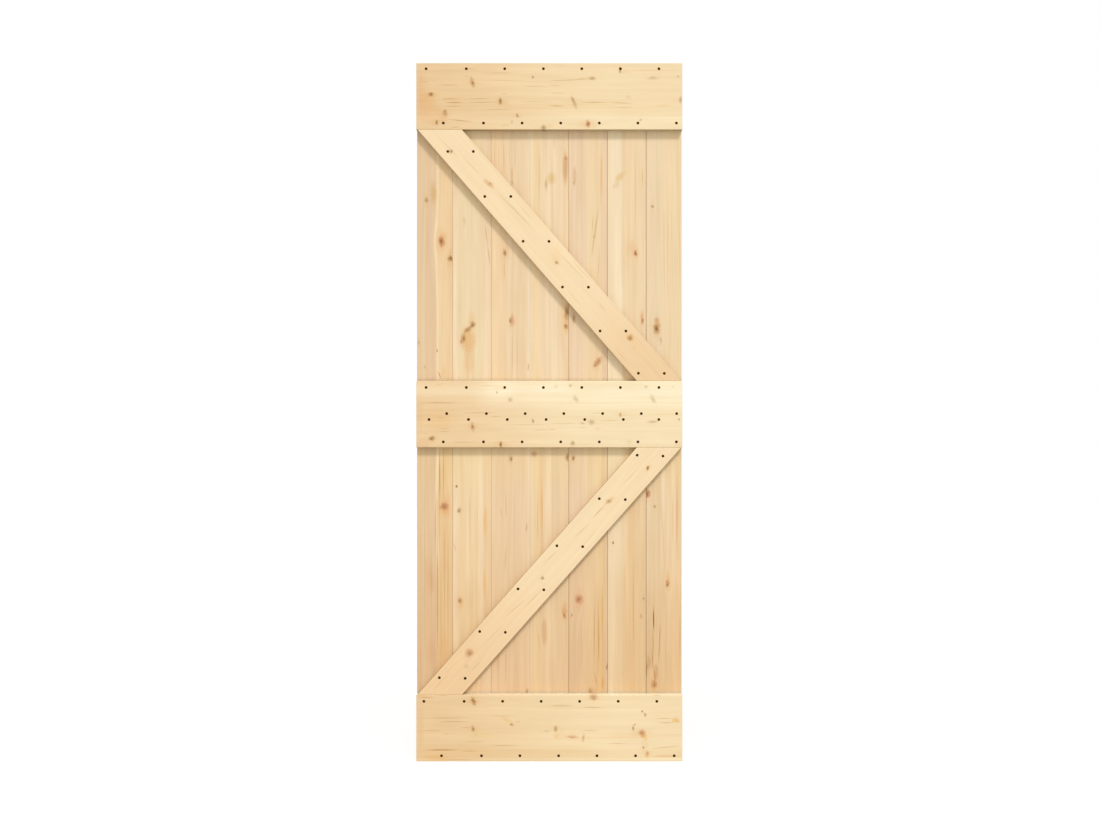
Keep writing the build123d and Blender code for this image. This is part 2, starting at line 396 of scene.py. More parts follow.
def make_spot():
    """A stained patch or a dark line: an ellipse that fades towards its edge."""
    g, n, i, o = new_group(
        "stain_paint",
        [("Color", "c"), ("Place", "v"), ("Rough", "f"), ("E1", "v"), ("E2", "v"), ("Amount", "f"),
         ("Inner", "f"), ("Tint", "c")],
        [("Color", "c")])
    d = n.vmath("LENGTH", n.vec(n.vmath("DOT_PRODUCT", i["Place"], i["E1"]),
                                n.vmath("DOT_PRODUCT", i["Place"], i["E2"]), 0.0))
    d = n.mad(n.sub(i["Rough"], 0.5), 0.6, d)
    mask = n.mul(n.step(d, i["Inner"], 1.12, 1.0, 0.0), i["Amount"])
    n.links.new(n.mix(mask, i["Color"], n.vmath("MULTIPLY", i["Color"], i["Tint"])), o["Color"])
    return g


def make_band():
    """A band of differing wood that follows the grain."""
    g, n, i, o = new_group(
        "band_paint",
        [("Color", "c"), ("Grain", "f"), ("U", "f"), ("Left", "f"), ("Right", "f"), ("SoftL", "f"), ("SoftR", "f"),
         ("From", "f"), ("To", "f"), ("Fade", "f"), ("Amount", "f"), ("Tint", "c")],
        [("Color", "c")])
    m = n.step(i["Grain"], n.sub(i["Left"], i["SoftL"]), n.add(i["Left"], i["SoftL"]))
    m = n.mul(m, n.step(i["Grain"], n.sub(i["Right"], i["SoftR"]), n.add(i["Right"], i["SoftR"]), 1.0, 0.0))
    m = n.mul(m, n.step(i["U"], n.sub(i["From"], i["Fade"]), i["From"]))
    m = n.mul(m, n.step(i["U"], i["To"], n.add(i["To"], i["Fade"]), 1.0, 0.0))
    m = n.mul(m, i["Amount"])
    n.links.new(n.mix(m, i["Color"], n.vmath("MULTIPLY", i["Color"], i["Tint"])), o["Color"])
    return g


PINE = make_pine()
KNOT_FLOW = make_knot_flow()
KNOT = make_knot()
SPOT = make_spot()
BAND = make_band()

# knots: light and dark wood of the core, tint of the stain, how strong core,
# rim and stain are, and how soft the edge is
KNOTS = {
    "red": dict(Light=(0.57, 0.295, 0.150), Dark=(0.32, 0.115, 0.036), HaloTint=(0.95, 0.78, 0.62),
                core=0.95, rim=0.12, halo=0.50, soft=0.36),
    "brown": dict(Light=(0.53, 0.315, 0.138), Dark=(0.25, 0.120, 0.036), HaloTint=(0.94, 0.82, 0.64),
                  core=0.95, rim=0.10, halo=0.45, soft=0.38),
    "grey": dict(Light=(0.54, 0.385, 0.205), Dark=(0.37, 0.242, 0.106), HaloTint=(0.94, 0.89, 0.80),
                 core=0.85, rim=0.0, halo=0.30, soft=0.55),
    "pin": dict(Light=(0.40, 0.245, 0.115), Dark=(0.20, 0.110, 0.040), HaloTint=(0.93, 0.85, 0.72),
                core=0.95, rim=0.0, halo=0.30, soft=0.45),
}
# patches and lines: tint, and how far in the fading starts
SPOTS = {
    "amber": ((0.95, 0.75, 0.46), 0.05, 1.0),
    "rose": ((0.90, 0.68, 0.55), 0.10, 1.0),
    "straw": ((0.95, 0.93, 0.74), 0.05, 1.0),
    "peach": ((0.93, 0.77, 0.60), 0.30, 1.0),
    "russet": ((0.86, 0.73, 0.64), 0.50, 1.0),
    "olive": ((0.90, 0.81, 0.60), 0.15, 1.0),
    "line": ((0.72, 0.57, 0.40), 0.20, 1.4),
    "brownline": ((0.62, 0.42, 0.24), 0.15, 1.0),
    "darkline": ((0.44, 0.24, 0.15), 0.30, 1.0),
}
TINTS = {
    "cream": (1.06, 1.12, 1.20), "white": (1.10, 1.20, 1.36), "pinkish": (0.93, 0.89, 0.90),
    "peach": (1.00, 0.94, 0.86), "green": (0.99, 1.04, 1.02), "orange": (0.96, 0.84, 0.66),
    "tan": (0.94, 0.88, 0.79), "straw": (1.00, 0.99, 0.86), "grey": (0.95, 0.96, 0.97),
    # two tints on the next line darken the corners above the rails: painted shade
    "dark": (0.66, 0.62, 0.56), "painted_shade": (0.80, 0.95, 1.14), "shade": (0.80, 0.83, 0.86), "honey": (1.02, 1.00, 0.83),
}


def wood(name, u_dir, v_dir, v_mid, w_front, spec, features, bands):
    """The material of one plank.

    u_dir and v_dir are the grain and the cross direction in (x, z); v_mid is
    the cross place of the plank's middle line, w_front its front in y.
    features are (x, z, half size along the angle, half size across it, angle,
    kind, strength), seen on the front; bands are (left, right, soft left, soft
    right, from, to, tint, strength), across and along the grain.
    """
    mat = bpy.data.materials.new(name)
    mat.use_nodes = True
    n = Net(mat.node_tree)
    n.nodes.clear()
    out = n.nodes.new("ShaderNodeOutputMaterial")
    bsdf = n.nodes.new("ShaderNodeBsdfPrincipled")
    n.links.new(bsdf.outputs[0], out.inputs[0])
    place = n.nodes.new("ShaderNodeTexCoord").outputs["Object"]
    ux, uz = u_dir
    vx, vz = v_dir
    U = n.add(n.vmath("DOT_PRODUCT", place, (1000 * ux, 0.0, 1000 * uz)), HANG * uz)
    V = n.add(n.vmath("DOT_PRODUCT", place, (1000 * vx, 0.0, 1000 * vz)), HANG * vz - v_mid)
    W = n.add(n.vmath("DOT_PRODUCT", place, (0.0, 1000.0, 0.0)), -w_front)
    seed = spec["seed"]
    # branches lean a little as they pass through the plank
    lean_v = 0.12 * math.sin(seed * 12.9)
    lean_u = 0.25 * math.cos(seed * 7.3)
    Vk = n.mad(W, -lean_v, V)
    Uk = n.mad(W, -lean_u, U)
    spot_at = n.vec(Uk, Vk, 1.0)

    def axes(x, z, h1, h2, angle):
        """Rows that give a place in units of the two half sizes."""
        c, s = math.cos(math.radians(angle)), math.sin(math.radians(angle))
        u0, v0 = x * ux + z * uz, x * vx + z * vz - v_mid
        rows = []
        for (ex, ez), h in (((c, s), h1), ((-s, c), h2)):
            a, b = (ex * ux + ez * uz) / h, (ex * vx + ez * vz) / h
            rows.append((a, b, -(a * u0 + b * v0)))
        return rows

    flow, bulge = 0.0, 0.0
    for x, z, h1, h2, angle, kind, strength in features:
        if kind not in ("red", "brown") or min(h1, h2) < 3.2 or strength < 0.6:
            continue
        k = n.group(KNOT_FLOW, U=Uk, V=Vk, U0=x * ux + z * uz, V0=x * vx + z * vz - v_mid,
                    R=min(math.sqrt(h1 * h2), 13.0) * 1.05, Flow=flow, Bulge=bulge)
        flow, bulge = k.outputs["Flow"], k.outputs["Bulge"]
    pine = n.group(PINE, U=U, V=V, W=W, Flow=flow, Bulge=bulge, Seed=seed,
                   PithV=spec["pith"][0], PithW=spec["pith"][1], Spacing=spec["spacing"],
                   Taper=spec["taper"], Wander=spec["wander"], Band=spec["band"],
                   ToneAmount=spec["tone"], LateAmount=spec["late_amount"], FibreAmount=spec["fibre"],
                   Pale=spec["pale"], Tan=spec["tan"], Late=spec["late"])
    c = pine.outputs["Color"]
    # slow change of colour along the plank
    lo, hi, tint = spec["warm"]
    c = n.mix(n.step(U, lo, hi), c, n.vmath("MULTIPLY", c, tint))
    for left, right, soft_l, soft_r, start, stop, tint, amount in bands:
        c = n.group(BAND, Color=c, Grain=pine.outputs["Grain"], U=U, Left=left - v_mid, Right=right - v_mid,
                    SoftL=soft_l, SoftR=soft_r, From=start, To=stop, Fade=90.0, Amount=amount,
                    Tint=TINTS[tint]).outputs["Color"]
    if "edges" in spec:
        # painted shade: the joint's bevels are darkened in colour where the groove falls into shade
        half_l, half_r, bevel_shade_l, bevel_shade_r = spec["edges"]
        bevel_shade_mask_l = n.mul(n.step(V, half_l + 0.9, half_l + 2.1, 1.0, 0.0), bevel_shade_l)
        bevel_shade_mask_r = n.mul(n.step(V, half_r - 2.1, half_r - 0.9), bevel_shade_r)
        c = n.mix(n.math("MAXIMUM", bevel_shade_mask_l, bevel_shade_mask_r), c, n.vmath("MULTIPLY", c, TINTS["dark"]))
    for z0, tint in spec.get("ledges", ()):
        # painted shade in the corner above a rail, on the front
        near = n.mul(n.step(U, z0 + 0.5, z0 + 13.0, 1.0, 0.0), n.step(U, z0 - 3.0, z0 - 1.0))
        near = n.mul(near, n.step(W, 1.0, 3.0, 1.0, 0.0))
        c = n.mix(near, c, n.vmath("MULTIPLY", c, TINTS[tint]))
    ragged = n.noise(n.vec(n.mul(V, 1 / 3.0), n.mul(W, 1 / 3.0), n.mul(U, 1 / 4.4)), 2.0, 0.6).outputs["Fac"]
    warp = n.noise(n.vec(n.mul(V, 1 / 8.5), n.mul(W, 1 / 8.5), n.mul(U, 1 / 13.0)), 1.0).outputs["Color"]
    warp = n.vmath("MULTIPLY", n.vmath("SUBTRACT", warp, (0.5, 0.5, 0.5)), (9.0, 9.0, 0.0))
    line_at = spot_at
    spot_at = n.vmath("ADD", spot_at, warp)
    thready = n.noise(n.vec(n.mul(V, 1 / 2.2), n.mul(W, 1 / 2.2), n.mul(U, 1 / 46.0)), 1.0).outputs["Fac"]
    for x, z, h1, h2, angle, kind, strength in features:
        if kind not in SPOTS:
            continue
        e1, e2 = axes(x, z, h1, h2, angle)
        slim = max(h1, h2) > 3.5 * min(h1, h2)
        c = n.group(SPOT, Color=c, Place=line_at if slim else spot_at, Rough=thready if slim else ragged, E1=e1, E2=e2,
                    Amount=min(1.0, strength * SPOTS[kind][2]), Inner=SPOTS[kind][1],
                    Tint=SPOTS[kind][0]).outputs["Color"]
    for x, z, h1, h2, angle, kind, strength in features:
        if kind not in KNOTS:
            continue
        e1, e2 = axes(x, z, h1, h2, angle)
        size = math.sqrt(h1 * h2)
        g1, g2 = axes(x, z, 4.2 * size, 1.9 * size, math.degrees(math.atan2(uz, ux)))
        style = KNOTS[kind]
        c = n.group(KNOT, Color=c, Place=spot_at, Rough=ragged, E1=e1, E2=e2, H1=g1, H2=g2,
                    Core=style["core"] * strength, Rim=style["rim"] * strength, Halo=style["halo"] * strength,
                    Soft=style["soft"], HaloTint=style["HaloTint"], Light=style["Light"],
                    Dark=style["Dark"]).outputs["Color"]
    normal = n.nodes.new("ShaderNodeNewGeometry").outputs["Normal"]
    if "painted_side_light" in spec:
        # painted light on the long edge faces: darker tints are painted shade on undersides and sides, the bottom
        # rail's lighter top face is a painted highlight
        for direction, tint in zip((-1.0, 1.0), spec["painted_side_light"]):
            turned = n.vmath("DOT_PRODUCT", normal, (vx * direction, 0.0, vz * direction))
            c = n.mix(n.step(turned, 0.80, 0.97), c, n.vmath("MULTIPLY", c, tint))
    # end grain drinks more and looks darker
    end = n.step(n.math("ABSOLUTE", n.vmath("DOT_PRODUCT", normal, (ux, 0.0, uz))), 0.70, 0.92)
    c = n.mix(n.mul(end, 0.85), c, n.vmath("MULTIPLY", c, (0.86, 0.78, 0.66)))
    n.links.new(c, bsdf.inputs["Base Color"])
    n.links.new(n.add(pine.outputs["Roughness"], n.mul(end, 0.15)), bsdf.inputs["Roughness"])
    bump = n.nodes.new("ShaderNodeBump")
    bump.inputs["Strength"].default_value = 0.25
    bump.inputs["Distance"].default_value = 0.0004
    n.links.new(pine.outputs["Height"], bump.inputs["Height"])
    n.links.new(bump.outputs[0], bsdf.inputs["Normal"])
    bsdf.inputs["Specular IOR Level"].default_value = 0.22
    return mat


# ---------------------------------------------------------------------------
# Meshes
# ---------------------------------------------------------------------------
def finish_piece(name, verts, faces, uvs, mat, node, sharp=35.0):
    """A mesh object from points in the door's millimetres, standing for a CAD node."""
    me = bpy.data.meshes.new(name)
    me.from_pydata([metres(*v) for v in verts], [], faces)
    me.validate()
    me.update()
    if uvs is not None:
        layer = me.uv_layers.new(name="OFBake")
        for poly in me.polygons:
            for li in poly.loop_indices:
                layer.data[li].uv = uvs(poly.index, me.loops[li].vertex_index)
    for p in me.polygons:
        p.use_smooth = True
    me.set_sharp_from_angle(angle=math.radians(sharp))
    me.materials.append(mat)
    ob = bpy.data.objects.new(name, me)
    scene.collection.objects.link(ob)
    door_light.objects.link(ob)
    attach(ob, "root")
    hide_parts(node)
    return ob


def ripple(x, z, seed, size):
    """Faint unevenness left by the planer, 0 to 1."""
    return 0.5 + 0.5 * mnoise.noise(Vector((x / size, z / (size * 2.2), seed * 3.17)))


# the six joints, left to right: bevel, half the open gap, strength of the painted shade in the bevel
JOINTS = [(0.55, 0.10, 0.20), (0.55, 0.10, 0.15), (0.35, 0.03, 0.10), (0.80, 0.13, 0.36), (1.05, 0.16, 0.38),
          (1.10, 0.17, 0.48)]


def board_section(i):
    """Section of board i, anticlockwise from the front left, as (x, y)."""
    plain_left, plain_right = i == 0, i == 6
    e0, gap0 = (1.0, 0.0) if plain_left else JOINTS[i - 1][:2]
    e1, gap1 = (1.0, 0.0) if plain_right else JOINTS[i][:2]
    x0 = LEFTS[i] + gap0
    x1 = RIGHTS[i] - gap1
    ym = RAIL_T + BOARD_T / 2
    soft = ((1.35, 0.0), (0.85, 0.10), (0.42, 0.42), (0.10, 0.85), (0.0, 1.35))
    pts = []
    # front, left to right
    for a, b in reversed(soft):
        pts.append((x0 + a * e0, RAIL_T + b * e0))
    lo, hi = x0 + 1.35 * e0, x1 - 1.35 * e1
    for k in range(1, 12):
        pts.append((lo + (hi - lo) * k / 12, RAIL_T))
    for a, b in soft:
        pts.append((x1 - a * e1, RAIL_T + b * e1))
    # right edge, front to back
    if not plain_right:
        pts += [(x1, ym - 4.2), (x1, ym - 3.0), (x1 + 0.8, ym - 3.0), (x1 + 5.0, ym - 3.0),
                (x1 + 6.0, ym - 2.2), (x1 + 6.0, ym + 2.2),
                (x1 + 5.0, ym + 3.0), (x1 + 0.8, ym + 3.0), (x1, ym + 3.0), (x1, ym + 4.2)]
    else:
        pts += [(x1, ym - 5.0), (x1, ym + 5.0)]
    # back, right to left
    for a, b in reversed(soft):
        pts.append((x1 - a * e1, BACK - b * e1))
    for k in range(11, 0, -1):
        pts.append((lo + (hi - lo) * k / 12, BACK))
    for a, b in soft:
        pts.append((x0 + a * e0, BACK - b * e0))
    # left edge, back to front
    if not plain_left:
        pts += [(x0, ym + 4.4), (x0, ym + 3.2), (x0 + 0.8, ym + 3.2), (x0 + 6.0, ym + 3.2),
                (x0 + 6.8, ym + 2.4), (x0 + 6.8, ym - 2.4),
                (x0 + 6.0, ym - 3.2), (x0 + 0.8, ym - 3.2), (x0, ym - 3.2), (x0, ym - 4.4)]
    else:
        pts += [(x0, ym + 5.0), (x0, ym - 5.0)]
    return pts


def inset(pts, d):
    """The section moved in by d along its corner bisectors."""
    m = len(pts)
    res = []
    for k in range(m):
        (ax, ay), (bx, by), (cx, cy) = pts[k - 1], pts[k], pts[(k + 1) % m]
        n1 = Vector((-(by - ay), bx - ax)).normalized()
        n2 = Vector((-(cy - by), cx - bx)).normalized()
        nn = n1 + n2
        s = max(nn.length_squared / 2, 0.35)
        off = nn * (d / s)
        res.append((bx + off.x, by + off.y))
    return res


def board_mesh(i, mat):
    pts = board_section(i)
    m = len(pts)
    small = inset(pts, 0.2)
    levels = [0.0, 0.2, 3.0] + [25.0 * k for k in range(1, 84)] + [HEIGHT - 3.0, HEIGHT - 0.2, HEIGHT]
    verts = []
    for k, z in enumerate(levels):
        ring = small if k in (0, len(levels) - 1) else pts
        inside = 2 <= k <= len(levels) - 3
        for j, (x, y) in enumerate(ring):
            if inside and (y == RAIL_T or y == BACK):
                dip = 0.16 * ripple(x + 40 * i, z, i + 1, 60.0)
                y = y + dip if y == RAIL_T else y - dip
            verts.append((x, y, z))
    faces = []
    rows = len(levels)
    for k in range(rows - 1):
        for j in range(m):
            a, b = k * m + j, k * m + (j + 1) % m
            faces.append((a, b, b + m, a + m))
    sweep = len(faces)
    faces.append(tuple(reversed(range(m))))
    faces.append(tuple(range((rows - 1) * m, rows * m)))
    # bake map: the unrolled section across, the length up; the two ends beside the top
    run = [0.0]
    for j in range(m):
        a, b = pts[j], pts[(j + 1) % m]
        run.append(run[-1] + max(math.dist(a, b), 0.25))
    total = run[-1]

    def uvs(face, vertex):
        if face < sweep:
            j = vertex % m
            wrap = face % m == m - 1 and j == 0
            u = (run[m] if wrap else run[j]) / total
            return (0.004 + 0.992 * u, 0.004 + 0.94 * levels[vertex // m] / HEIGHT)
        x, y = pts[vertex % m]
        u0 = 0.02 if face == sweep else 0.52
        return (u0 + 0.44 * (x - LEFTS[i] + 2) / 130.0, 0.955 + 0.040 * (y - RAIL_T) / BOARD_T)

    return finish_piece(f"pine_board_{i + 1}", verts, faces, uvs, mat, f"board_{i + 1}")


def plank_mesh(name, corners, screws, mat, node, along, seed, ease=1.1):
    """A rail or brace: eased front, countersunk holes, square back.

    corners are the outline's four (x, z), anticlockwise seen from the front.
    """
    quad = [Vector(c) for c in corners]
    lines = []
    for k in range(4):
        a, b = quad[k], quad[(k + 1) % 4]
        t = (b - a).normalized()
        lines.append((a, Vector((-t.y, t.x))))

    def depth_in(p):
        return min((p - a).dot(nrm) for a, nrm in lines)

    def loop(d):
        """The outline moved in by d, as its four corners."""
        res = []
        for k in range(4):
            (a1, n1), (a2, n2) = lines[k - 1], lines[k]
            c1, c2 = a1.dot(n1) + d, a2.dot(n2) + d
            det = n1.x * n2.y - n1.y * n2.x
            res.append(Vector(((c1 * n2.y - c2 * n1.y) / det, (n1.x * c2 - n2.x * c1) / det)))
        return res

    counts = [max(2, round((quad[(k + 1) % 4] - quad[k]).length / 18.0)) for k in range(4)]

    def ring(d):
        cs = loop(d)
        res = []
        for k in range(4):
            for j in range(counts[k]):
                res.append(cs[k].lerp(cs[(k + 1) % 4], j / counts[k]))
        return res

    offsets = (0.0, 0.073 * ease, 0.273 * ease, 0.591 * ease, ease, 3.2)
    m = sum(counts)
    pts, edges = [], []
    for d in offsets:
        base = len(pts)
        pts += ring(d)
        edges += [(base + j, base + (j + 1) % m) for j in range(m)]
    centres = [Vector(s) for s in screws]
    seg = 28
    hole_rings = (4.75, 4.38)
    hole_start = len(pts)
    for c in centres:
        for r in hole_rings:
            base = len(pts)
            pts += [c + r * Vector((math.cos(2 * math.pi * j / seg), math.sin(2 * math.pi * j / seg)))
                    for j in range(seg)]
            edges += [(base + j, base + (j + 1) % seg) for j in range(seg)]
    xs = [q.x for q in quad]
    zs = [q.y for q in quad]
    gx = min(xs)
    while gx < max(xs):
        gz = min(zs)
        while gz < max(zs):
            p = Vector((gx + 9.0 * (round((gz - min(zs)) / 16.0) % 2), gz))
            if depth_in(p) > 8.0 and all((p - c).length > 8.5 for c in centres):
                pts.append(p)
            gz += 16.0
        gx += 18.0
    out = geometry.delaunay_2d_cdt(pts, edges, [], 0, 1e-5, True)
    flat, tris, origin = out[0], out[2], out[3]
    kept = []
    for t in tris:
        mid = (flat[t[0]] + flat[t[1]] + flat[t[2]]) / 3
        if depth_in(mid) < -1e-6 or any((mid - c).length < 4.37 for c in centres):
            continue
        kept.append(tuple(t))
    verts = []
    for p in flat:
        d = depth_in(p)
        y = 0.0
        if d < ease:
            y = ease - math.sqrt(max(ease ** 2 - (ease - max(d, 0.0)) ** 2, 0.0))
        elif d > 7.0 and all((p - c).length > 7.0 for c in centres):
            y = 0.14 * ripple(p.dot(Vector((-along[1], along[0]))), p.dot(Vector(along)), seed, 55.0)
        verts.append((p.x, y, p.y))
    index = {}
    for k, o in enumerate(origin):
        for src in o:
            index[src] = k
    faces = []
    for t in kept:
        a, b, c = (flat[k] for k in t)
        turn = (b - a).cross(c - a)
        faces.append(t if turn > 0 else tuple(reversed(t)))
    front = len(faces)
    # countersinks, closed below the screw's head
    for ci, c in enumerate(centres):
        base = hole_start + (ci * len(hole_rings) + 1) * seg
        upper = [index[base + j] for j in range(seg)]
        for r, y in ((4.37, 0.06), (4.24, 0.22), (3.6, 0.9), (2.9, 1.6)):
            lower = []
            for j in range(seg):
                a = 2 * math.pi * j / seg
                lower.append(len(verts))
                verts.append((c.x + r * math.cos(a), y, c.y + r * math.sin(a)))
            for j in range(seg):
                k = (j + 1) % seg
                faces.append((upper[j], upper[k], lower[k], lower[j]))
            upper = lower
        faces.append(tuple(upper))
    holes = len(faces)
    # sides and back
    outer = [index[j] for j in range(m)]
    rim = [flat[k] for k in outer]
    levels = [(ease, None), (ease + 0.7, 0.0), (8.0, 0.0), (14.0, 0.0), (RAIL_T - 1.0, 0.0),
              (RAIL_T - 0.4, 0.0), (RAIL_T, 0.4)]
    prev = outer
    for y, d in levels[1:]:
        cur = []
        shape = rim if d == 0.0 else ring(d)
        for p in shape:
            cur.append(len(verts))
            verts.append((p.x, y, p.y))
        for j in range(m):
            k = (j + 1) % m
            faces.append((prev[k], prev[j], cur[j], cur[k]))
        prev = cur
    sides = len(faces)
    faces.append(tuple(reversed(prev)))
    # bake map: front above, back below it, the four edges in a strip
    u_axis, v_axis = Vector(along), Vector((-along[1], along[0]))
    su = [q.dot(u_axis) for q in quad]
    sv = [q.dot(v_axis) for q in quad]
    span_u, span_v = max(su) - min(su), max(sv) - min(sv)
    walk = [0.0]
    for j in range(m):
        walk.append(walk[-1] + (rim[(j + 1) % m] - rim[j]).length)
    order = {v: j for j, v in enumerate(outer)}
    first_side = len(verts) - m * (len(levels) - 1)

    def uvs(face, vertex):
        x, y, z = verts[vertex]
        p = Vector((x, z))
        fu = (p.dot(u_axis) - min(su)) / span_u
        fv = (p.dot(v_axis) - min(sv)) / span_v
        if face < holes:
            return (0.005 + 0.99 * fu, 0.46 + 0.535 * fv)
        if face < sides:
            j = order[vertex] if vertex in order else (vertex - first_side) % m
            wrap = (face - holes) % m == m - 1 and j == 0
            s = walk[m] if wrap else walk[j]
            return (0.005 + 0.99 * s / walk[m], 0.005 + 0.085 * (y - ease) / (RAIL_T - ease))
        return (0.005 + 0.99 * fu, 0.105 + 0.34 * fv)

    return finish_piece(name, verts, faces, uvs, mat, node)


def screw_mesh(name, places, mat, node):
    """Countersunk screws with a cross recess, joined along one row."""
    verts, faces = [], []
    seg = 48
    radii = (0.18, 0.36, 0.52, 0.70, 0.92, 1.16, 1.42, 1.70, 2.0, 2.25, 2.5, 2.9, 3.4, 3.9, 4.18)
    for idx, (cx, cz) in enumerate(places):
        spin = math.radians((idx * 137.5 + len(name) * 29.0) % 90.0)

        def top(r, a):
            x, z = r * math.cos(a - spin), r * math.sin(a - spin)
            arm = min(abs(x), abs(z))
            reach = max(abs(x), abs(z))
            y = 0.06 + 0.06 * max(0.0, (r - 3.2) / 1.0) ** 2
            cut = max(0.0, min(1.0, (0.62 - arm) / 0.22)) * max(0.0, min(1.0, (2.35 - reach) / 0.5))
            return y + cut * (1.25 - 0.28 * reach)

        base = len(verts)
        verts.append((cx, top(0.0, 0.0), cz))
        rows = []
        for r in radii:
            row = []
            for j in range(seg):
                a = 2 * math.pi * j / seg
                row.append(len(verts))
                verts.append((cx + r * math.cos(a), top(r, a), cz + r * math.sin(a)))
            rows.append(row)
        for r, y in ((4.24, 0.16), (4.18, 0.24), (2.0, 2.4)):
            row = []
            for j in range(seg):
                a = 2 * math.pi * j / seg
                row.append(len(verts))
                verts.append((cx + r * math.cos(a), y, cz + r * math.sin(a)))
            rows.append(row)
        for j in range(seg):
            faces.append((base, rows[0][j], rows[0][(j + 1) % seg]))
        for a, b in zip(rows, rows[1:]):
            for j in range(seg):
                k = (j + 1) % seg
                faces.append((a[j], b[j], b[k], a[k]))
        # shank and point, hidden in the wood
        last = rows[-1]
        for r, y in ((1.95, 30.0), (0.3, 35.2)):
            row = []
            for j in range(seg):
                a = 2 * math.pi * j / seg
                row.append(len(verts))
                verts.append((cx + r * math.cos(a), y, cz + r * math.sin(a)))
            for j in range(seg):
                k = (j + 1) % seg
                faces.append((last[j], row[j], row[k], last[k]))
            last = row
        faces.append(tuple(last))
    return finish_piece(name, verts, faces, None, mat, node, sharp=40.0)


def screw_material():
    mat = bpy.data.materials.new("screw_steel")
    mat.use_nodes = True
    n = Net(mat.node_tree)
    bsdf = n.nodes["Principled BSDF"]
    place = n.nodes.new("ShaderNodeTexCoord").outputs["Object"]
    blot = n.noise(n.vmath("SCALE", place, scale=420.0), 3.0, 0.6).outputs["Fac"]
    grain = n.noise(n.vmath("SCALE", place, scale=2600.0), 2.0, 0.6).outputs["Fac"]
    c = n.mix(n.step(blot, 0.35, 0.70), (0.052, 0.0200, 0.0016), (0.085, 0.0340, 0.0034))
    c = n.mix(n.mul(n.step(grain, 0.55, 0.8), 0.35), c, (0.130, 0.056, 0.008))
    n.links.new(c, bsdf.inputs["Base Color"])
    n.links.new(n.mad(grain, 0.25, 0.42), bsdf.inputs["Roughness"])
    bsdf.inputs["Metallic"].default_value = 0.85
    bsdf.inputs["Specular IOR Level"].default_value = 0.05
    bump = n.nodes.new("ShaderNodeBump")
    bump.inputs["Strength"].default_value = 0.2
    bump.inputs["Distance"].default_value = 0.0002
    n.links.new(grain, bump.inputs["Height"])
    n.links.new(bump.outputs[0], bsdf.inputs["Normal"])
    return mat


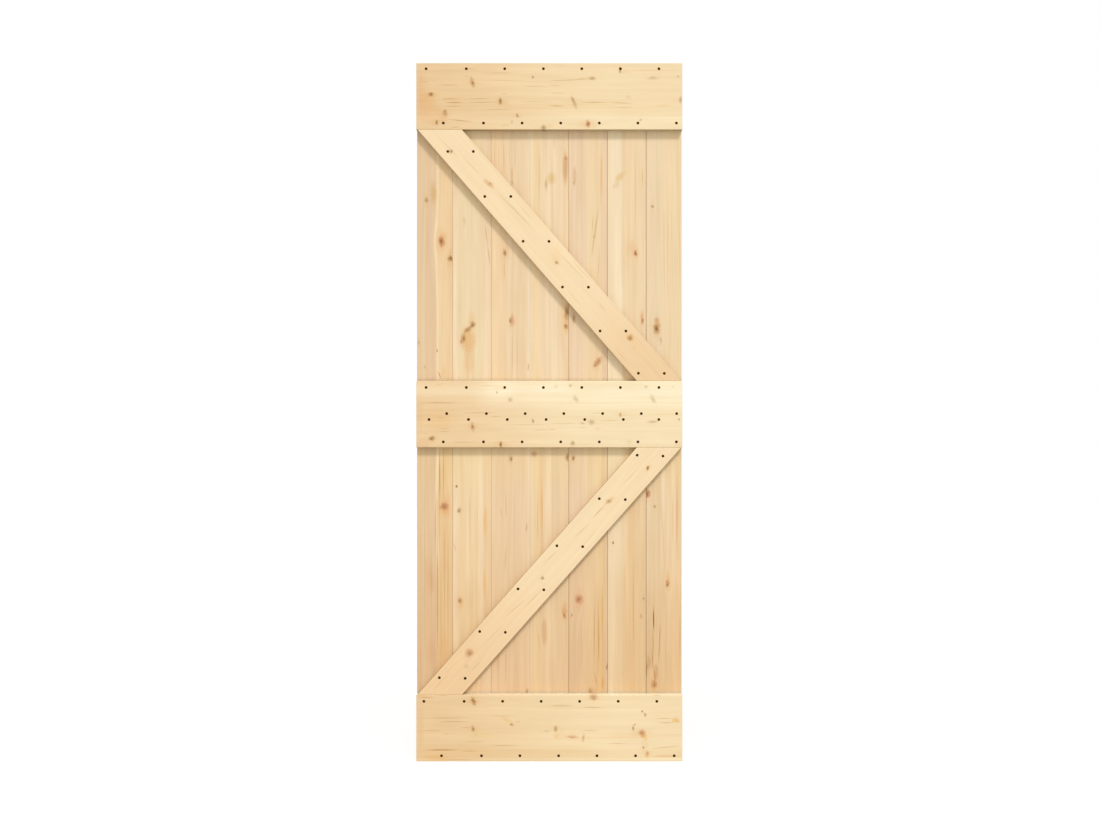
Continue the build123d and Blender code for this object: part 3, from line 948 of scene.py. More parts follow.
# ---------------------------------------------------------------------------
# The planks: how each was cut from its tree, its colours, knots and stains
# ---------------------------------------------------------------------------
# -- features: begin
FEATURES = {
    "board_1": [
        (-350.1, 1713, 13, 42, 0, "olive", 1), (-371.8, 1691.5, 5.2, 9.1, 0, "brown", 0.58),
        (-326.3, 1566.7, 9, 15, 0, "red", 1), (-319.8, 1575.8, 14.7, 25.7, 0, "rose", 0.41),
        (-299.5, 1514.5, 7.2, 8.4, 0, "brown", 1), (-299.2, 1524.8, 31.2, 3, -91.7, "rose", 0.45),
        (-332.1, 1163, 16, 2.4, -67.5, "brownline", 0.8), (-395.1, 1262, 2.6, 10.6, 0, "grey", 0.65),
        (-339.2, 1235.6, 2.6, 4.5, 0, "pin", 0.53), (-377.2, 1186.4, 3.5, 5.3, 0, "grey", 0.48),
        (-318.3, 765.3, 11.4, 10.8, 0, "red", 1), (-317.9, 764.6, 6.4, 6.2, 0, "brown", 0.7), (-311.1, 757.8, 17.3, 30.2, 0, "amber", 0.4),
        (-331.6, 861.7, 85.2, 2.8, -89.7, "line", 0.75), (-320.2, 861.7, 93.6, 1.7, -90.3, "line", 0.75),
        (-317.2, 525.3, 251.6, 1.7, -90.1, "line", 0.42), (-327.7, 479, 240, 1.6, -90, "line", 0.4), (-338.3, 515.9, 266.1, 2.1, -90.1, "line", 0.68),
        (-306.6, 523.4, 216.2, 1.8, -89.9, "line", 0.4), (-332.6, 742.7, 191.3, 1.5, -90, "line", 0.4),
        (-356.1, 538.5, 133.1, 2.2, -89.8, "line", 0.24), (-378.1, 606.6, 291.1, 2.4, -90, "line", 0.24),
        (-356.5, 538.5, 14.7, 52.9, 0, "rose", 0.35),
        (-343.6, 723, 121, 2.6, -90, "line", 0.5),
        (-318.1, 1171, 9, 24, 0, "peach", 0.35),
        (-319.1, 344, 20, 55, 0, "peach", 0.35),
        (-354.1, 324, 16, 56, 0, "rose", 0.28),
    ],
    "board_2": [
        (-244.1, 1267.3, 27, 46, 0, "peach", 1), (-244.1, 1206, 19, 60, 0, "peach", 0.72),
        (-243.6, 1303, 24, 6.5, -139.6, "brownline", 0.85), (-232.1, 1314.2, 7.8, 9.8, 0, "brown", 0.75),
        (-259.3, 1273, 7.8, 12.1, 0, "brown", 0.64), (-266.6, 1264, 4.4, 7.5, 0, "red", 0.55),
        (-257.1, 1628.7, 5.2, 12.1, 0, "grey", 0.23), (-190.8, 1586.9, 37.7, 2.4, -83.5, "line", 0.45),
        (-183, 1525.7, 38.6, 2.4, -82.2, "line", 0.45), (-280.2, 825.8, 2.7, 3.3, 0, "pin", 1),
        (-272.5, 752.5, 6, 7.6, 0, "grey", 1), (-269.7, 479.4, 7.8, 9.4, 0, "brown", 0.66),
        (-267.9, 470.5, 12.1, 22.7, 0, "amber", 0.33), (-285, 640.2, 17.2, 2.4, -75.6, "line", 0.4),
        (-193.8, 720, 8.2, 63.5, 0, "amber", 0.62), (-196.2, 534.8, 6.5, 62, 0, "amber", 0.58),
        (-240.7, 712.4, 174.6, 2, -90, "line", 0.26), (-218.3, 682.2, 241.2, 2, -90, "line", 0.28),
        (-258.4, 1277.2, 19.3, 4, -97.1, "brownline", 0.55), (-232.9, 1332.3, 13.8, 30.2, 0, "peach", 0.45),
        (-247.1, 1298, 11, 8, 40, "brown", 0.4),
    ],
    "board_3": [
        (-135.3, 1531.2, 4.3, 9.1, 0, "brown", 0.85), (-127.5, 1538, 13, 30.2, 0, "rose", 0.31),
        (-136.4, 1479.4, 43.7, 1.6, -90, "line", 0.5), (-110.3, 1327.8, 8.6, 24.2, 0, "rose", 0.81),
        (-114.8, 1326.3, 6.5, 18.1, 0, "red", 0.26), (-116.7, 1326.3, 3, 7.6, 0, "brown", 0.6),
        (-113.3, 1772.3, 6.5, 27.2, 0, "rose", 0.6), (-112.4, 1745.1, 3.9, 9.1, 0, "grey", 0.47),
        (-63.6, 1186.4, 2.6, 10.6, 0, "grey", 0.6), (-137.4, 1821.5, 74.8, 1.8, -89.6, "line", 0.5),
        (-166.4, 1825.3, 66.5, 1.8, -90, "line", 0.24), (-152.6, 1825.3, 66.5, 1.8, -90, "line", 0.24),
        (-119.8, 1825.3, 66.5, 1.8, -90, "line", 0.24), (-104.2, 1825.3, 66.5, 1.8, -90, "line", 0.24),
        (-116.9, 909, 4.9, 8.6, 0, "grey", 1), (-116.7, 908, 3.4, 5, 0, "pin", 0.6), (-131.2, 765.3, 49.9, 1.7, -89.5, "line", 0.5),
        (-69.2, 701.1, 2.6, 15.1, 0, "grey", 0.45), (-132.9, 606.5, 58.3, 2, -92.8, "line", 0.32),
        (-105.9, 761.6, 145.5, 1.9, -90, "line", 0.22), (-146.5, 746.4, 21, 1.9, -82.2, "line", 0.32),
        (-154.3, 296.6, 83.2, 2.2, -90, "line", 0.26), (-131.9, 289.1, 74.8, 2.2, -90, "line", 0.26),
        (-67.1, 205.9, 4.3, 6.4, 0, "brown", 0.55), (-112, 1225, 79.8, 1.6, -90, "line", 0.45),
        (-96.9, 1226.5, 61.5, 1.5, -90, "line", 0.28),
    ],
    "board_4": [
        (5.5, 1757.2, 18.1, 23, 0, "olive", 1), (-10.2, 1740.6, 4.3, 15.1, 0, "grey", 0.45),
        (48.3, 1787.5, 56.5, 9, -90, "russet", 1), (50.4, 1817.7, 5.2, 7.6, 0, "red", 0.46),
        (49.8, 1783.7, 5.6, 25.7, 0, "red", 0.15), (53.2, 1352, 7.3, 22.7, 0, "brown", 0.71),
        (50.4, 1309.7, 5.4, 7.8, 0, "brown", 0.85), (-30.8, 1761, 116.4, 2.4, -90, "line", 0.34),
        (-9.6, 1734.5, 24.9, 2, -90, "line", 0.4), (14.2, 1866.8, 29.1, 1.8, -90, "line", 0.34),
        (-46.3, 923.3, 7.8, 9.1, 0, "red", 0.39), (54.6, 912.8, 5.3, 11.7, 0, "brown", 0.72),
        (-24.9, 772.9, 6.9, 98.3, 0, "amber", 0.55), (-21.9, 761.6, 128.9, 2, -90.2, "line", 0.34),
        (-35.1, 742.7, 124.8, 1.8, -90.9, "line", 0.34), (45.3, 451.6, 10.8, 33.3, 0, "peach", 0.7),
        (45.3, 444, 7.3, 22.7, 0, "rose", 0.3), (45.9, 434.2, 4.8, 8.3, 0, "red", 0.67),
        (-15.1, 385, 10, 48, 0, "russet", 0.75), (-32.5, 364.7, 41.9, 2, -83.5, "line", 0.3),
        (1.9, 274, 74.8, 2, -90.4, "line", 0.24),
        (52.9, 1329, 13, 54, 0, "peach", 0.4),
    ],
    "board_5": [
        (76.4, 1764.8, 6, 33.3, 0, "russet", 0.75), (74.9, 1742, 3, 13.6, 0, "grey", 0.32),
        (74.6, 1333.8, 5.2, 15.1, 0, "grey", 0.99), (134.5, 1581.1, 3.5, 5.3, 0, "grey", 0.28),
        (145.9, 1201, 18, 9, 47, "red", 0.5), (150.3, 1206.9, 3.5, 5.3, 0, "brown", 0.42),
        (137.7, 1191.7, 3.9, 6, 0, "brown", 0.75), (157.6, 1764.8, 116.4, 5.5, -90.5, "amber", 0.8),
        (138.6, 1598.5, 92.3, 3.4, -97.7, "line", 0.45), (131.3, 1621.4, 33.4, 2.4, -94.9, "line", 0.3),
        (149.2, 1492.7, 58.3, 2, -92.8, "line", 0.3), (72.5, 910.5, 4.3, 7.5, 0, "brown", 0.75),
        (88.7, 484, 10.8, 12.6, 0, "red", 0.66), (91.9, 483, 16, 20, 0, "peach", 0.6),
        (66.7, 436.5, 2.6, 4.5, 0, "pin", 0.54), (124.3, 204.4, 9, 12.1, 0, "brown", 0.5),
        (161.9, 230.1, 6, 25.7, 0, "amber", 0.85), (135.8, 391.1, 137.2, 2.2, -90.3, "line", 0.46),
        (148.5, 379.8, 124.8, 2.6, -89.1, "line", 0.55), (159.7, 447.8, 99.8, 2.2, -90.3, "line", 0.42),
        (139.5, 245.7, 30, 2.2, -76.2, "line", 0.46), (97.4, 338.2, 104, 1.8, -89.7, "line", 0.26),
        (174.9, 281.5, 2.2, 9.1, 0, "pin", 0.9),
    ],
    "board_6": [
        (212.9, 1761.5, 27, 12, 48, "olive", 1), (201.9, 1736, 16, 9, 35, "russet", 0.42),
        (261.3, 1531.2, 5, 7.8, 0, "red", 1), (248.3, 1545.5, 19.9, 37.8, 0, "rose", 0.3),
        (259.6, 1711.9, 183, 1.9, -90, "rose", 0.6), (281.4, 1761, 41.6, 4.2, -90, "amber", 0.75),
        (280.5, 1337.6, 6.6, 26, 0, "rose", 0.95), (281, 1326.3, 4, 9, 0, "red", 0.7),
        (191.5, 655.7, 3.5, 3.8, 0, "pin", 1), (284.8, 485.6, 2.6, 4.5, 0, "pin", 0.55),
        (276.8, 432.7, 5.6, 9.5, 0, "russet", 0.8), (253.7, 478.1, 166.3, 2.4, -89.8, "line", 0.38),
        (228, 546.1, 108.1, 3, -89.2, "rose", 0.3),
    ],
    "board_7": [
        (311.6, 1671.8, 5.2, 4.5, 0, "grey", 0.94), (326.1, 1311.2, 11.2, 24.2, 0, "amber", 0.63),
        (324.6, 1302.1, 9.5, 14.4, 0, "brown", 1), (324.6, 1327.8, 6.9, 9.1, 0, "brown", 0.33),
        (336.7, 1265.8, 2.2, 11.3, 0, "grey", 0.65), (346.8, 1549.3, 187.1, 1.9, -89.6, "line", 0.26),
        (357, 1549.3, 187.1, 1.9, -89.6, "line", 0.24), (370.6, 1549.3, 187.1, 1.9, -89.6, "line", 0.28),
        (393.6, 1549.4, 187.1, 1.9, -89.6, "line", 0.26), (296.9, 802.5, 8.4, 12, 0, "red", 0.88),
        (318.1, 763.8, 3.3, 5, 0, "pin", 0.54), (357, 531, 5.6, 9.4, 0, "red", 0.72),
        (358.9, 552.2, 6, 22.7, 0, "amber", 0.6), (315.3, 423.3, 43.7, 2.6, -89.7, "darkline", 1),
        (313.4, 351, 58, 2.4, -88.5, "brownline", 0.62), (333, 349.5, 83.2, 2.2, -92.6, "line", 0.75),
        (311.4, 304.2, 41.7, 2.2, -86.1, "line", 0.7), (294.4, 270.7, 29.2, 2.4, -93.7, "line", 0.7),
        (317.2, 227.1, 6.6, 12.1, 0, "red", 1), (386.1, 735.1, 166.3, 2.2, -90.2, "line", 0.45),
        (372.1, 731.3, 112.3, 1.9, -90.4, "line", 0.3), (343.3, 686, 104.1, 1.9, -87.4, "line", 0.3),
        (395.1, 394.8, 141.4, 2.2, -90.5, "line", 0.36), (353.1, 357.1, 149.7, 1.9, -90.5, "line", 0.26),
        (300.9, 293, 9, 24, 0, "russet", 0.7),
        (357.5, 528, 4.4, 5.4, 0, "brown", 1),
        (317.3, 225.5, 4.8, 6.4, 0, "brown", 1),
        (318.9, 254, 22, 2.4, -84, "line", 0.6),
        (321.9, 265, 9, 28, 0, "russet", 0.75),
    ],
    "top_rail": [
        (-363.1, 1990.6, 32.2, 32.2, 0, "amber", 0.46), (-389.3, 2005.6, 12.9, 90.2, 0, "rose", 0.22),
        (-356, 2005.6, 9, 5.4, 10, "brown", 0.76), (-231.4, 2041.7, 16.8, 5.6, -75, "brown", 0.44),
        (-231.2, 2040, 4.3, 5.8, 0, "brown", 0.76), (-249.7, 2060, 5.6, 1.9, 0, "grey", 0.42),
        (-147.2, 1984.8, 5.2, 9.5, 0, "brown", 0.88), (-133.3, 1975.5, 19.3, 8.6, 0, "amber", 0.24),
        (-313, 1949.1, 7.8, 10.7, 0, "brown", 0.42), (-314.7, 1955.1, 3.4, 3, 0, "brown", 0.6),
        (-338.7, 1921.8, 4.2, 6.8, 0, "brown", 1), (-96.1, 1942.2, 4.1, 7, 0, "brown", 0.62),
        (-112.2, 1923.3, 2.6, 5.6, 0, "grey", 0.37), (-49.9, 2057.6, 2.8, 4.5, 0, "pin", 0.55),
        (-17.3, 1905.7, 7.6, 8, 0, "grey", 1), (-386.1, 2056.7, 2.4, 8.6, 0, "amber", 0.6),
        (-241.7, 2082.3, 27.2, 1.7, 0, "line", 0.4), (-304, 2033.7, 41.3, 1.7, 0, "line", 0.42),
        (-298.6, 1992.5, 33.1, 2, 0.8, "line", 0.55), (-209.5, 1992.7, 43.7, 1.7, 0.3, "line", 0.38),
        (-283.6, 1981.3, 35.4, 2.2, 0.8, "line", 0.7), (-203.1, 1982, 57.9, 1.5, 0.2, "line", 0.6),
        (-289, 1969.7, 27.2, 1.8, 1, "line", 0.42), (-155.8, 1960.1, 48.4, 2, 0, "line", 0.36),
        (-141.9, 2070.1, 44.9, 2.2, 0, "line", 0.3), (-131.1, 2048.1, 85.1, 1.5, 0.5, "line", 0.28),
        (-42.6, 2029.6, 50.1, 1.7, -0.9, "line", 0.36), (-135.4, 2007.5, 14.2, 2, 1, "line", 0.3),
        (-49.5, 1984.1, 56.7, 1.5, 0.5, "line", 0.34), (-269.6, 1927.2, 42.7, 2.2, -5.4, "line", 0.66),
        (-282.5, 1907.5, 17.7, 2, 1.1, "line", 0.42), (-134.4, 1913.1, 15.4, 1.8, 1.3, "line", 0.3),
        (-374.4, 2043.2, 13.6, 1.8, 1, "line", 0.32), (100, 2052.4, 21.5, 5.2, 0, "rose", 0.55),
        (128.3, 2053.9, 10.7, 5.8, 0, "brown", 0.44), (127.7, 2057.4, 6.4, 1.9, 0, "pin", 0.12),
        (57, 2048.8, 66.2, 2.1, 2.7, "line", 0.48), (73.9, 1981.4, 19.3, 5.2, -66, "brown", 0.42),
        (69.7, 1991.2, 3.2, 7.7, 0, "grey", 0.4), (133.3, 1981.5, 53.2, 2, 0.3, "line", 0.62),
        (217.2, 1979.7, 43.7, 1.8, -2.3, "line", 0.46), (221.4, 1966.5, 39, 1.8, -0.7, "line", 0.36),
        (22.7, 1971, 28.4, 3.6, -2.4, "line", 0.4), (116.3, 1916.5, 7.3, 10.7, 0, "red", 0.82),
        (213.4, 2079.3, 4.1, 9, 0, "grey", 1), (311.6, 2054.4, 18.5, 4.3, 0, "grey", 0.34),
        (387.4, 2059.7, 3.4, 2.6, 0, "pin", 0.28), (394.7, 1988.4, 4.7, 11.2, 0, "grey", 0.56),
        (274.6, 1929.8, 2.4, 4.3, -30, "grey", 0.52), (295.5, 2078, 115.8, 3.4, 0.1, "rose", 0.45),
        (231, 2073.3, 23.6, 5.6, 0, "rose", 0.3), (340.6, 1972.1, 37.8, 3, 0.7, "rose", 0.4),
        (35.6, 2091.1, 9.5, 5.2, 0, "grey", 0.1), (237.5, 1996.6, 9.5, 7.3, 0, "grey", 0.13),
        (3.3, 1910.7, 15, 8.6, 0, "amber", 0.35), (17.3, 2032, 22.4, 1.8, -0.6, "line", 0.34),
        (23.7, 2009.5, 29.5, 2.6, 0, "line", 0.24), (-352.3, 1945.5, 49.4, 34.4, 0, "peach", 0.42),
        (-381.6, 2005.6, 23.6, 94.5, 0, "rose", 0.22),
        (-317.1, 1934, 18, 16, 0, "peach", 0.45),
    ],
    "middle_rail": [
        (-389.3, 1041.4, 12.9, 81.6, 0, "rose", 0.2), (-335.2, 1028.5, 77.3, 49.4, 0, "amber", 0.29),
        (-353.4, 971.6, 9.5, 6, 12, "brown", 0.74), (-354.5, 959.8, 17.2, 8.6, 0, "amber", 0.26),
        (-231.4, 1006, 14.2, 5.8, -80, "brown", 0.42), (-231.4, 1006.6, 4.1, 6, 0, "brown", 0.76),
        (-146.6, 952.9, 4.3, 10.3, 0, "brown", 1), (-117.6, 1087.6, 7.3, 7.3, 0, "grey", 0.42),
        (-158.4, 1110.6, 2.8, 3.6, 0, "grey", 0.8), (-49.9, 1024.2, 3.2, 5.4, 0, "grey", 1),
        (-245.8, 1027.9, 3.2, 3, 0, "grey", 0.55), (-370.6, 984.5, 8.6, 5.6, 0, "rose", 0.18),
        (-207.4, 1048.1, 67.3, 1.7, 0.2, "line", 0.42), (-315.8, 1000.2, 21.3, 1.6, 0, "line", 0.4),
        (-315.8, 992, 21.3, 1.6, 0.6, "line", 0.4), (-327.6, 1078.4, 65, 4, -0.4, "line", 0.3),
        (-187, 1129.9, 33.1, 1.7, -0.8, "line", 0.3), (-257.8, 959.6, 63.8, 1.6, 0.2, "line", 0.42),
        (-105.3, 961.1, 23.6, 1.6, 0.6, "line", 0.32), (-66.7, 1012.9, 75.6, 1.6, -0.2, "line", 0.3),
        (-25.9, 996.7, 30.7, 1.9, 0.4, "line", 0.36), (-162.3, 1036.9, 17.7, 2, 0.8, "line", 0.36),
        (-335.2, 1132.3, 21.7, 2, 11.9, "line", 0.26), (-327.6, 1034.1, 15.4, 1.8, -0.9, "line", 0.3),
        (79.4, 1089.5, 11.2, 5.6, -60, "grey", 0.37), (311.6, 1089.5, 14.2, 6, -60, "grey", 0.33),
        (63.5, 1130.6, 5.4, 5.2, 0, "brown", 0.32), (19.5, 1128.2, 5.6, 5.6, 0, "grey", 0.22),
        (290.9, 1127.4, 6.4, 4.3, 0, "grey", 0.31), (371.7, 1125.2, 3.4, 3, 0, "grey", 0.15),
        (127.1, 1019.2, 10.3, 8.2, 0, "grey", 0.42), (128.8, 1023.2, 5.2, 2.6, 0, "pin", 0.25),
        (98.9, 1017.8, 7.3, 2.4, 0, "grey", 0.51), (46.3, 1016.7, 54.3, 1.8, 0.7, "line", 0.34),
        (213.4, 1042.9, 3.7, 6.2, 0, "brown", 0.62), (310.5, 1021.4, 17.6, 3.7, 0, "brown", 0.26),
        (70.1, 957.2, 6, 8.2, 0, "grey", 0.6), (389.7, 1026.8, 3.2, 3.2, 0, "grey", 0.8),
        (139.7, 1046.8, 24.8, 1.8, 0.5, "line", 0.3), (226.7, 1041.2, 44.9, 1.8, 0.3, "rose", 0.36),
        (336.3, 1043.4, 54.3, 2.4, 0.2, "rose", 0.36), (180.5, 1024.7, 36.6, 2.2, 1.1, "line", 0.3),
        (100, 1003.2, 18.9, 1.8, 0, "line", 0.26), (8.7, 998, 13, 2.4, 2.1, "line", 0.3),
        (145.1, 1000.6, 11.2, 8.6, 0, "amber", 0.35), (239.6, 960.6, 8.6, 7.7, 0, "grey", 0.14),
        (-149.1, 1124, 28, 11, 0, "peach", 0.35),
        (-382.1, 957, 26, 18, 0, "russet", 0.32),
        (388.9, 955, 16, 15, 0, "russet", 0.28),
    ],
    "bottom_rail": [
        (-387.8, 100, 12.9, 92.4, 0, "rose", 0.25), (-341.6, 10.9, 55.8, 15, 0, "amber", 0.5),
        (-228.4, 181.2, 12.5, 6.4, -65, "brown", 0.86), (-229.3, 97.4, 5.2, 8.6, 0, "brown", 0.79),
        (-222.4, 80.3, 8.6, 9.5, 0, "amber", 0.29), (-199.8, 78.5, 58, 12.9, 0, "straw", 0.5),
        (-113.3, 110.1, 3.9, 4.5, 0, "brown", 0.55), (-129, 125.8, 23.6, 8.6, -25, "amber", 0.42),
        (-94.6, 119.1, 11.8, 1.8, 1.1, "line", 0.42), (-8.7, 90.3, 9.9, 2.6, 0, "grey", 0.28),
        (-313.7, 130.5, 80.3, 1.9, 0.2, "line", 0.46), (-289, 119.4, 57.9, 2, 0.5, "line", 0.52),
        (-325.5, 34.5, 57.9, 3.8, 0.2, "line", 0.6), (-238.5, 31.1, 30.7, 2, 0.9, "line", 0.36),
        (-366.3, 192.2, 24.8, 2.2, 0.5, "line", 0.5), (-321.2, 198.2, 22.5, 1.8, 1.2, "line", 0.3),
        (-139.7, 136.3, 44.9, 2, -0.3, "line", 0.32), (-134.3, 47.4, 53.2, 2, 0.3, "line", 0.42),
        (-271.7, 5.7, 76.8, 1.8, 0.4, "line", 0.42), (-223.5, 59, 37.8, 2.4, 1.1, "line", 0.3),
        (-353.4, 93.1, 39, 1.8, 0.3, "line", 0.32), (-252.5, 101.9, 17.7, 2.2, 0.8, "line", 0.34),
        (-310.5, 82.8, 10.6, 1.8, 0, "line", 0.3), (132.6, 193.3, 12.5, 9.5, 0, "red", 0.44),
        (133.5, 186.6, 4.7, 6.4, 0, "red", 0.28), (19, 98.3, 5.4, 8.6, 0, "brown", 0.53),
        (21.6, 75.3, 9.5, 12.9, 0, "amber", 0.43), (67.8, 73.2, 15.9, 4.3, -9, "red", 0.42),
        (102.1, 70.8, 4.3, 11.6, -10, "brown", 0.34), (282.6, 79.5, 19, 11, -50, "amber", 0.95),
        (278.7, 85.6, 10, 10.6, 0, "red", 0.5), (252.1, 99.4, 3.2, 7.3, 0, "pin", 0.56),
        (256.4, 110.1, 2.4, 2.4, 0, "pin", 0.71), (278.5, 150.5, 2.6, 4.5, 0, "pin", 0.78),
        (287.9, 140.4, 3.4, 5.4, 0, "pin", 0.6), (282.6, 40.9, 2.6, 4.7, 0, "pin", 0.62),
        (293.3, 17.3, 8.5, 8.5, 0, "amber", 1), (295.2, 24.8, 5.4, 6, 0, "red", 0.4),
        (381.4, 123.2, 15.9, 10.7, 0, "amber", 0.99), (343.8, 129, 31.9, 1.9, 0.4, "line", 0.46),
        (350.2, 116.3, 24.8, 2.4, 0.5, "line", 0.46), (351.3, 16, 52, 4.6, 0.5, "rose", 0.55),
        (335.2, 16, 69.7, 1.8, 0.2, "rose", 0.4), (132.2, 162.1, 35.4, 2.6, -0.4, "line", 0.46),
        (35.6, 167.7, 42.5, 3.6, -0.3, "line", 0.34), (120.4, 92.5, 31.9, 2.2, 0.4, "line", 0.3),
        (202, 53.8, 36.6, 2.2, 0.4, "line", 0.36), (351.3, 42.7, 52.3, 2.2, 6, "line", 0.42),
        (322.3, 197.6, 13, 1.9, 0, "line", 0.42), (211.7, 78.5, 36.5, 12.9, 0, "amber", 0.13),
        (-385, 198.4, 23.6, 12.9, 0, "rose", 0.35), (225.4, 72.1, 211.7, 3, 0.1, "rose", 0.34),
        (262.9, 83, 30, 14, 0, "peach", 0.3),
        (286.9, 51, 14, 30, 0, "peach", 0.3),
        (32.9, 77, 28, 15, 0, "peach", 0.22),
    ],
    "upper_brace": [
        (-295, 1834.6, 5.7, 5.8, 0, "grey", 1), (-181.1, 1737.5, 22, 9, -38, "russet", 0.85),
        (-178.4, 1736.9, 5.2, 5.3, 0, "red", 0.39), (-107.5, 1661.5, 95.6, 1.9, -45.2, "line", 0.5),
        (21.2, 1500, 4.7, 5.3, 0, "grey", 1), (242.6, 1273.7, 14, 16, 0, "amber", 0.62),
        (243.3, 1273.5, 8.4, 9.4, 0, "brown", 0.62), (253.4, 1242.1, 9.5, 10.5, 0, "amber", 0.32),
        (17.1, 1512.8, 25.8, 37.6, 0, "amber", 0.25), (68.6, 1488.3, 71.7, 1.9, -46.2, "line", 0.34),
        (94.4, 1478.9, 51.4, 1.9, -46.4, "line", 0.28), (75.1, 1392.5, 43.6, 1.9, -49.4, "line", 0.28),
        (157.8, 1368, 24.1, 1.9, -50.5, "line", 0.34), (221.1, 1213.9, 51.4, 1.9, -49.9, "line", 0.38),
        (341.4, 1223.3, 62.3, 1.9, -46.9, "line", 0.34), (-300.8, 1843.6, 57.7, 1.9, -45.8, "line", 0.26),
        (-234.2, 1791, 46.8, 1.9, -45, "line", 0.28), (-73.1, 1651.9, 38.9, 1.9, -48.1, "line", 0.26),
        (97.5, 1329.4, 43.6, 1.9, -49.4, "line", 0.3), (-113.9, 1625.6, 56, 1.9, -47.6, "line", 0.22),
    ],
    "lower_brace": [
        (296.7, 881.2, 5, 5.8, 0, "brown", 0.98), (181.2, 783.7, 21.2, 5.4, 38.7, "russet", 0.7),
        (180.1, 781.9, 7.7, 6.8, 0, "brown", 0.41), (149.2, 751.7, 31.7, 2.6, 44.9, "line", 0.5),
        (95, 691.7, 40.8, 2, 41.2, "line", 0.32), (-21.4, 551.1, 5.2, 5.3, 0, "grey", 0.99),
        (-240.7, 326.2, 12, 12.8, 0, "brown", 0.42), (-239.6, 325.8, 7.6, 8.4, 0, "red", 0.36), (-249.2, 285.6, 6, 6.8, 0, "grey", 0.27),
        (-48.4, 489.1, 54.5, 1.9, 46.1, "line", 0.3), (-101, 462.3, 56.5, 1.9, 41.2, "line", 0.34),
        (-4.4, 605.2, 51.4, 1.9, 46.4, "line", 0.26), (120.4, 668.9, 60.7, 1.9, 48.6, "line", 0.24),
        (-165.5, 383.4, 56, 1.9, 47.6, "line", 0.28), (-296.5, 280, 49.9, 1.9, 44.8, "line", 0.32),
        (-324.4, 240.5, 46.8, 1.9, 45, "line", 0.3), (-218, 288.8, 29.7, 1.9, 44.2, "line", 0.3),
        (2.1, 614.6, 32.8, 1.9, 43.9, "line", 0.24), (242.6, 855.2, 32.8, 1.9, 43.9, "line", 0.26),
    ],
}
# -- features: end

BOARD = dict(spacing=3.4, taper=6.0, wander=7.0, band=15.0, tone=0.80, late_amount=0.22, fibre=0.13,
             pale=(0.785, 0.597, 0.372), tan=(0.722, 0.522, 0.308), late=(0.600, 0.390, 0.195),
             warm=(1000.0, 120.0, (0.925, 0.845, 0.755)))
RAIL = dict(spacing=3.6, taper=5.0, wander=9.0, band=17.0, tone=0.80, late_amount=0.13, fibre=0.085,
            pale=(0.828, 0.660, 0.412), tan=(0.770, 0.588, 0.350), late=(0.680, 0.475, 0.250),
            warm=(180.0, -360.0, (0.915, 0.820, 0.745)))
BRACE = dict(RAIL, tone=0.60, late_amount=0.07, fibre=0.085,
             pale=(0.842, 0.657, 0.417), tan=(0.800, 0.600, 0.367))

